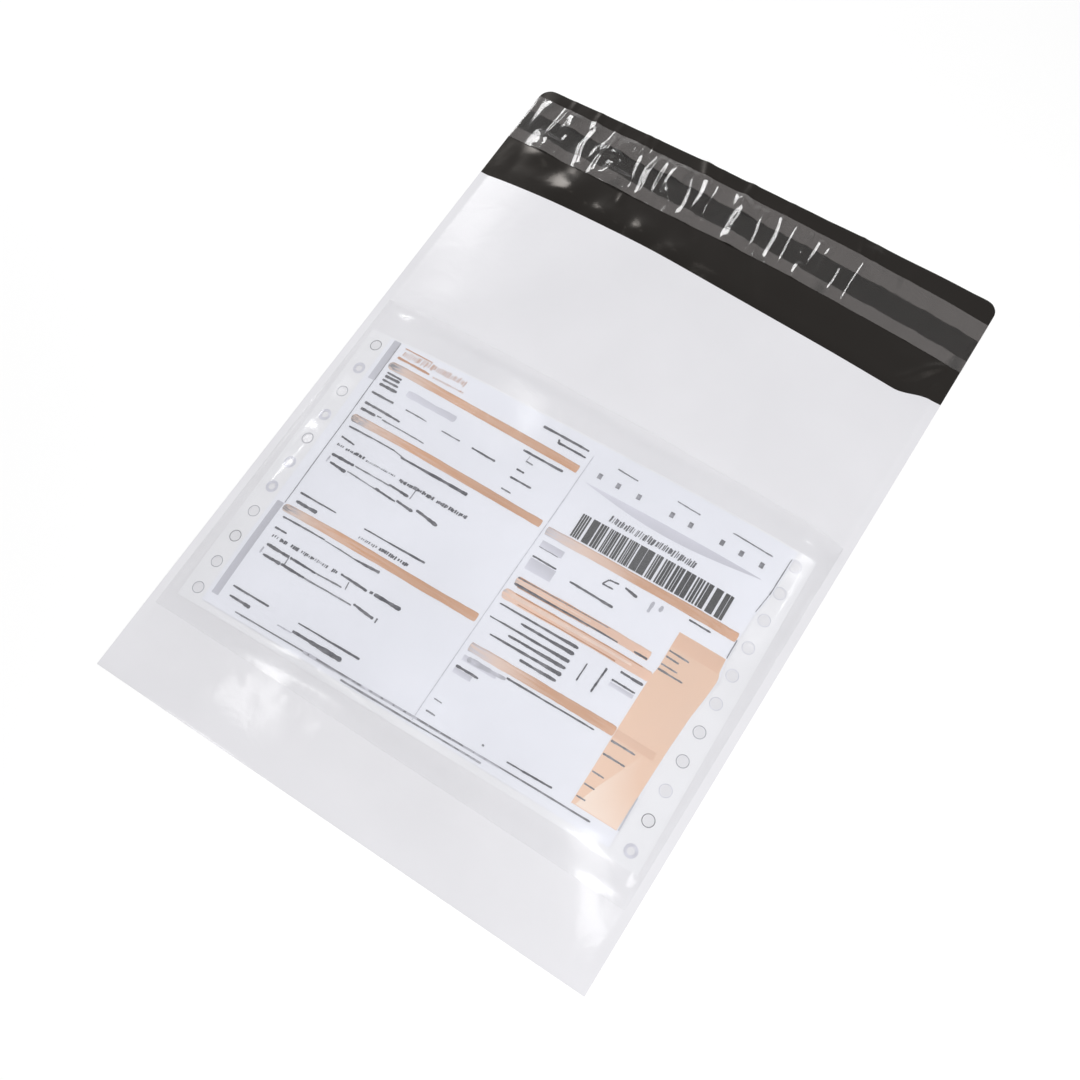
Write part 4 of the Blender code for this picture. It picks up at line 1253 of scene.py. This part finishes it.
class MAILER_OT_waybill_print(Operator):
    """Prints the copy: bars, lines, marks, fields and a plain barcode"""

    bl_idname = "mailer.waybill_print"
    bl_label = "Waybill print"
    column_rows, foot_rows = 40, 17
    # In millimetres: how far the foot ends short of the column's edge, and half a heading mark
    foot_short = 0.1
    mark_half_width, mark_half_height = 0.9, 1.2
    crescent_points, crescent_rows = 41, 4

    def execute(self, context):
        shape = MailerShape(context.scene)
        waybill = shape.waybill
        press = Press(shape)
        grey = waybill.grey
        orange, cream = tuple(waybill.orange), tuple(waybill.cream)
        worn, peach = tuple(waybill.worn), tuple(waybill.peach)
        ink = tuple(waybill.ink)
        left_stops = (
            (0.0, shade(grey, 0.36)), (0.03, shade(grey, 0.42)), (0.055, shade(grey, 0.80)),
            (0.10, shade(cream, 0.98)), (0.30, shade(orange, 1.16)), (0.75, shade(orange, 1.0)),
            (1.0, shade(orange, 1.14)),
        )
        right_stops = (
            (0.0, shade(grey, 0.80)), (0.05, shade(grey, 1.15)), (0.20, shade(cream, 1.15)),
            (0.5, shade(orange, 1.06)), (0.85, shade(orange, 1.08)), (1.0, shade(orange, 1.28)),
        )
        worn_stops = (
            (0.0, shade(grey, 0.9)), (0.04, shade(cream, 1.1)), (0.25, shade(worn, 1.12)),
            (0.5, worn), (0.8, worn), (1.0, shade(worn, 1.14)),
        )
        press.layer(0)
        self.add("print_column", self.column(press), field_finish(
            "Peach print", peach, shade(peach, 1.07)))
        fields = [press.field(left, right, low, high) for left, right, low, high in GREY_FIELDS]
        self.add("print_grey_fields", joined(fields), field_finish(
            "Grey print", shade(grey, 0.94), shade(grey, 1.10)))
        pale = [press.field(left, right, low, high) for left, right, low, high in PALE_FIELDS]
        # The crescent is painted shadow under the copy's swell, laid with the pale print
        pale.append(self.crescent(press))
        pale.append(press.lines(
            GREY_BAND, across=3, wobble=0.1, uneven=0.05, round_left=0.1, round_right=0.2))
        self.add("print_pale_fields_and_painted_shadow", joined(pale), field_finish(
            "Pale grey print and painted shadow", shade(grey, 1.14), shade(grey, 1.38)))
        press.layer(1)
        head = [press.field(*row) for row in COLUMN_HEAD]
        self.add("print_column_head", joined(head), field_finish(
            "Deep peach print", tuple(waybill.deep_peach), shade(waybill.deep_peach, 1.05)))
        self.add("print_column_foot", self.foot(press), field_finish(
            "Pale peach print", shade(peach, 1.04), shade(waybill.pale_peach, 1.04)))
        steady = {"across": 4, "wobble": 0.05, "uneven": 0.03}
        self.add(
            "print_left_bars", press.lines(LEFT_BARS, round_left=0.5, round_right=0.08, **steady),
            streaked_finish("Streaked orange", left_stops, shade(cream, 1.10), orange),
        )
        self.add(
            "print_right_bars", press.lines(RIGHT_BARS, round_left=0.12, round_right=0.08, **steady),
            streaked_finish("Streaked pale orange", right_stops, shade(cream, 1.15), orange),
        )
        self.add(
            "print_worn_bars", press.lines(WORN_BARS, round_left=0.3, round_right=0.1, **steady),
            streaked_finish("Worn orange", worn_stops, shade(worn, 1.16), shade(worn, 0.9)),
        )
        press.layer(2)
        self.add("print_barcode", press.barcode(*BARCODE), ink_finish(
            "Barcode ink", shade(ink, 0.22), shade(ink, 0.55)))
        dark = [press.lines(DARK_LINES)] + [press.mark_row(*row) for row in MARK_ROWS]
        self.add("print_dark_lines", joined(dark), ink_finish("Dark ink", ink, shade(grey, 0.40)))
        # The fine lines include painted shade along the copy's right edge
        mid = [press.lines(MID_LINES), self.heading_marks(press)]
        self.add("print_fine_lines_and_edge_shade", joined(mid), ink_finish(
            "Thin ink and painted edge shade", shade(grey, 0.32), shade(grey, 0.75)))
        # The pale lines include painted shade along the copy's fold
        self.add("print_pale_lines_and_fold_shade", press.lines(PALE_LINES), ink_finish(
            "Pale ink and painted fold shade", shade(grey, 0.85), shade(grey, 1.3)))
        brown = [press.lines(BROWN_LINES), press.lines(WORN_STREAKS)]
        brown += [press.mark_row(*row) for row in BROWN_ROWS]
        self.add("print_brown_lines", joined(brown), ink_finish(
            "Brown print", tuple(waybill.brown), shade(orange, 0.9)))
        self.add("print_cream_streaks", press.lines(CREAM_STREAKS), ink_finish(
            "Cream print", shade(cream, 1.18), shade(cream, 1.32)))
        left, right = waybill.hole_inset, waybill.width - waybill.hole_inset
        # Grey rings painted round the holes as the shade at their edges, in three tones
        for tone_name, factor in ((DARK, 0.35), (MIDDLE, 0.70), (FAINT, 1.15)):
            rings = [
                press.rings(left, LEFT_RINGS, tone_name), press.rings(right, RIGHT_RINGS, tone_name),
            ]
            tone_colour = shade(grey, factor)
            finish = ink_finish("Painted ring shade, " + tone_name, tone_colour, shade(tone_colour, 1.25))
            self.add("rings_" + tone_name, joined(rings), finish, "base_paper")
        return {"FINISHED"}

    def add(self, name, arrays, finish, slot="copy_paper"):
        mesh = new_mesh(name, *arrays)
        face_outwards(mesh)
        mesh.shade_flat()
        add_piece(name, mesh, (finish,), slot)

    def column(self, press):
        """The peach column, its two edges drawn through their places."""
        heights = np.linspace(COLUMN_HEIGHTS[0], COLUMN_HEIGHTS[-1], self.column_rows)
        left = np.interp(heights, COLUMN_HEIGHTS, COLUMN_LEFT)
        right = np.interp(heights, COLUMN_HEIGHTS, COLUMN_RIGHT)
        return press.field(left, right, heights[0], heights[-1], heights[1] - heights[0])

    def foot(self, press):
        """The paler foot of the column, slanted at its left."""
        heights = np.linspace(FOOT_HEIGHTS[0], FOOT_HEIGHTS[-1], self.foot_rows)
        left = np.interp(heights, FOOT_HEIGHTS, FOOT_LEFT)
        right = np.interp(heights, COLUMN_HEIGHTS, COLUMN_RIGHT) - self.foot_short
        return press.field(left, right, heights[0], heights[-1], heights[1] - heights[0])

    def crescent(self, press):
        """A painted shadow under the copy's swell, in pale grey: level along its top, an arc of a sine
        below.

        It starts and ends a little inside the sine's ends, where it would have no height.
        """
        left, right, top, deep = CRESCENT
        share = np.linspace(0.02, 0.98, self.crescent_points)
        u = (left + (right - left) * share)[:, None]
        down = (deep * np.sin(math.pi * share))[:, None]
        v = top - down * np.linspace(0, 1, self.crescent_rows)[None, :]
        return press.lay((u + 0 * v)[None], v[None])

    def heading_marks(self, press):
        middle = np.array(HEADING_MARKS)
        half, tall = self.mark_half_width, self.mark_half_height
        low = np.full_like(middle, HEADING_MARK_HEIGHT - tall)
        return press.blocks(middle - half, middle + half, low, low + 2 * tall, along=3)


class MAILER_OT_closure(Operator):
    """Lays the glue on the flap and the puckered clear strip over it"""

    bl_idname = "mailer.closure"
    bl_label = "Glue and liner"
    glue_step = 1.0 * MM
    liner_step_across = 0.38 * MM
    liner_step_along = 0.9 * MM

    def execute(self, context):
        shape = MailerShape(context.scene)
        closure = shape.closure
        x, row = np.meshgrid(
            stations(GLUE_LOW[0], GLUE_HIGH[0], self.glue_step),
            stations(closure.glue_start, closure.glue_start + closure.glue_width, self.glue_step),
        )
        y = shape.closure_y(x, row)
        mesh = grid_mesh("glue_band", x, y, shape.glue_under(x, y))
        glue = add_piece("glue_band", mesh, (glue_finish(closure),), "adhesive", "adhesive_strip")
        add_wall(glue, closure.glue, 1.0)
        crisp_border(mesh)
        x, row = np.meshgrid(
            stations(LINER_LOW[0], LINER_HIGH[0], self.liner_step_across),
            stations(
                closure.liner_start, closure.liner_start + closure.liner_width, self.liner_step_along
            ),
        )
        mesh = grid_mesh("liner_strip", x, shape.closure_y(x, row), shape.liner_under(x, row))
        liner = add_piece("liner_strip", mesh, (liner_finish(shape),), "liner_film", "release_liner")
        add_wall(liner, closure.liner, 1.0)
        crisp_border(mesh)
        return {"FINISHED"}


# Lamps: name, direction from the bag, distance, width, height, roll in degrees and radiance
LAMPS = (
    ("flap_lamp", (-0.678, 0.565, 0.471), 1.386, 0.43, 0.50, 22.0, 12.0),
    ("margin_lamp", (-0.774, 0.177, 0.609), 1.269, 0.10, 0.10, 0.0, 12.0),
    ("top_lamp", (-0.345, 0.357, 0.868), 1.231, 0.09, 0.05, 0.0, 6.0),
    ("right_lamp", (0.378, 0.327, 0.866), 1.247, 0.08, 0.10, 0.0, 8.0),
    ("low_right_lamp", (0.197, -0.144, 0.970), 1.232, 0.16, 0.18, 0.0, 8.0),
    ("low_left_lamp", (-0.399, -0.335, 0.853), 1.247, 0.12, 0.08, 0.0, 9.5),
    ("fill_lamp", (0.66, -0.42, 0.62), 0.95, 0.60, 0.60, 0.0, 4.4),
)


class MAILER_OT_stage(Operator):
    """Sets out the floor, the lamps and the camera"""

    bl_idname = "mailer.stage"
    bl_label = "Stage"
    # The floor in metres: half its width, where it starts and ends its rise, and the rise
    floor_half, floor_points = 4.0, 81
    rise_span, rise_height = (1.6, 4.2), 2.2
    # How far out it turns plain white, and its glow near the bag
    white_span, near_glow = (0.45, 1.1), 0.20

    def execute(self, context):
        settings = context.scene.mailer_stage
        self.floor(settings)
        self.lamps()
        self.world(context.scene, settings)
        self.camera(context.scene, settings)
        context.scene.view_settings.view_transform = "Standard"
        return {"FINISHED"}

    def floor(self, settings):
        """A wide floor that rises far out: height is an S-curve of the distance from the bag."""
        places = np.linspace(-self.floor_half, self.floor_half, self.floor_points)
        x, y = np.meshgrid(places, places)
        z = self.rise_height * smooth(np.hypot(x, y), *self.rise_span)
        floor = bpy.data.objects.new("floor", grid_mesh("floor", x, y, z))
        bpy.context.scene.collection.objects.link(floor)
        floor.data.materials.append(self.floor_finish(settings))
        floor.data.shade_smooth()
        floor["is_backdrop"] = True

    def floor_finish(self, settings):
        """Pale near the bag, where it takes the shadow, and plain white further out."""
        made, tree = blank("Pale floor")
        seen = add(tree, "ShaderNodeLightPath")
        by_eye = sum_of(tree, seen.outputs["Is Camera Ray"], seen.outputs["Is Glossy Ray"])
        by_eye = sum_of(tree, by_eye, seen.outputs["Is Transmission Ray"])
        far = add(tree, "ShaderNodeVectorMath", {0: object_place(tree)}, operation="LENGTH")
        far = remap(tree, far.outputs["Value"], *self.white_span, 0.0, 1.0)
        matt = add(tree, "ShaderNodeBsdfDiffuse", {"Color": (*settings.floor, 1.0)})
        near_strength = sum_of(tree, by_eye, self.near_glow, "MULTIPLY")
        glow = add(tree, "ShaderNodeEmission", {"Strength": near_strength})
        near = add(tree, "ShaderNodeAddShader", {0: matt.outputs[0], 1: glow.outputs[0]})
        white = add(tree, "ShaderNodeEmission", {"Strength": by_eye})
        finish_with(tree, add(
            tree, "ShaderNodeMixShader", {0: far, 1: near.outputs[0], 2: white.outputs[0]}))
        made.cycles.emission_sampling = "NONE"
        return made

    def lamps(self):
        for name, direction, distance, width, height, roll, radiance in LAMPS:
            data = bpy.data.lights.new(name, "AREA")
            data.shape = "RECTANGLE"
            data.size = width
            data.size_y = height
            data.energy = radiance * math.pi * width * height
            lamp = bpy.data.objects.new(name, data)
            bpy.context.scene.collection.objects.link(lamp)
            place = Vector(direction).normalized() * distance
            lamp.location = place
            turn = place.to_track_quat("Z", "Y") @ Quaternion((0, 0, 1), math.radians(roll))
            lamp.rotation_euler = turn.to_euler()

    def world(self, scene, settings):
        world = bpy.data.worlds.new("Even light")
        world.use_nodes = True
        back = world.node_tree.nodes["Background"]
        back.inputs["Color"].default_value = (1.0, 1.0, 1.0, 1.0)
        back.inputs["Strength"].default_value = settings.sky
        scene.world = world

    def camera(self, scene, settings):
        """Looks at its aim along azimuth and elevation, turned about its view by roll."""
        sa, ca = math.sin(settings.azimuth), math.cos(settings.azimuth)
        se, ce = math.sin(settings.elevation), math.cos(settings.elevation)
        back = Vector((sa * ce, -ca * ce, se))
        level = Vector((ca, sa, 0.0))
        upright = back.cross(level)
        sr, cr = math.sin(settings.roll), math.cos(settings.roll)
        right = cr * level + sr * upright
        up = cr * upright - sr * level
        place = Vector((settings.aim_x, settings.aim_y, 0.0)) + back * settings.distance
        camera = bpy.data.objects.new("camera", bpy.data.cameras.new("camera"))
        camera.data.lens = settings.lens
        camera.data.sensor_width = 36.0
        camera.data.clip_start = 10 * MM
        axes = Matrix((right, up, back)).transposed().to_4x4()
        camera.matrix_world = Matrix.Translation(place) @ axes
        scene.collection.objects.link(camera)
        scene.camera = camera


STEPS = (
    MAILER_OT_bag_film, MAILER_OT_waybill_sheets, MAILER_OT_waybill_print,
    MAILER_OT_document_pouch, MAILER_OT_closure, MAILER_OT_stage,
)
SETTINGS = {
    "mailer_film": FilmSettings,
    "mailer_pouch": PouchSettings,
    "mailer_waybill": WaybillSettings,
    "mailer_closure": ClosureSettings,
    "mailer_stage": StageSettings,
}


class MAILER_PT_panel(Panel):
    """Lists the sizes, the colours and the steps"""

    bl_idname = "MAILER_PT_panel"
    bl_label = "Poly mailer bag"
    bl_space_type = "VIEW_3D"
    bl_region_type = "UI"
    bl_category = "Mailer"

    def draw(self, context):
        for name, group in SETTINGS.items():
            box = self.layout.box()
            for key in group.__annotations__:
                box.prop(getattr(context.scene, name), key)
        for step in STEPS:
            self.layout.operator(step.bl_idname)


def register():
    for item in (*SETTINGS.values(), *STEPS, MAILER_PT_panel):
        bpy.utils.register_class(item)
    for name, group in SETTINGS.items():
        setattr(bpy.types.Scene, name, PointerProperty(type=group))


def unregister():
    for name in SETTINGS:
        delattr(bpy.types.Scene, name)
    for item in (MAILER_PT_panel, *reversed(STEPS), *reversed(SETTINGS.values())):
        bpy.utils.unregister_class(item)


def main():
    register()
    bpy.ops.mailer.bag_film()
    bpy.ops.mailer.waybill_sheets()
    bpy.ops.mailer.waybill_print()
    bpy.ops.mailer.document_pouch()
    bpy.ops.mailer.closure()
    bpy.ops.mailer.stage()
    sizes = {"cad": CAD_BOX, "visual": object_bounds()}
    sizes = {name: [list(map(float, corner)) for corner in box] for name, box in sizes.items()}


if __name__ == "__main__":
    main()
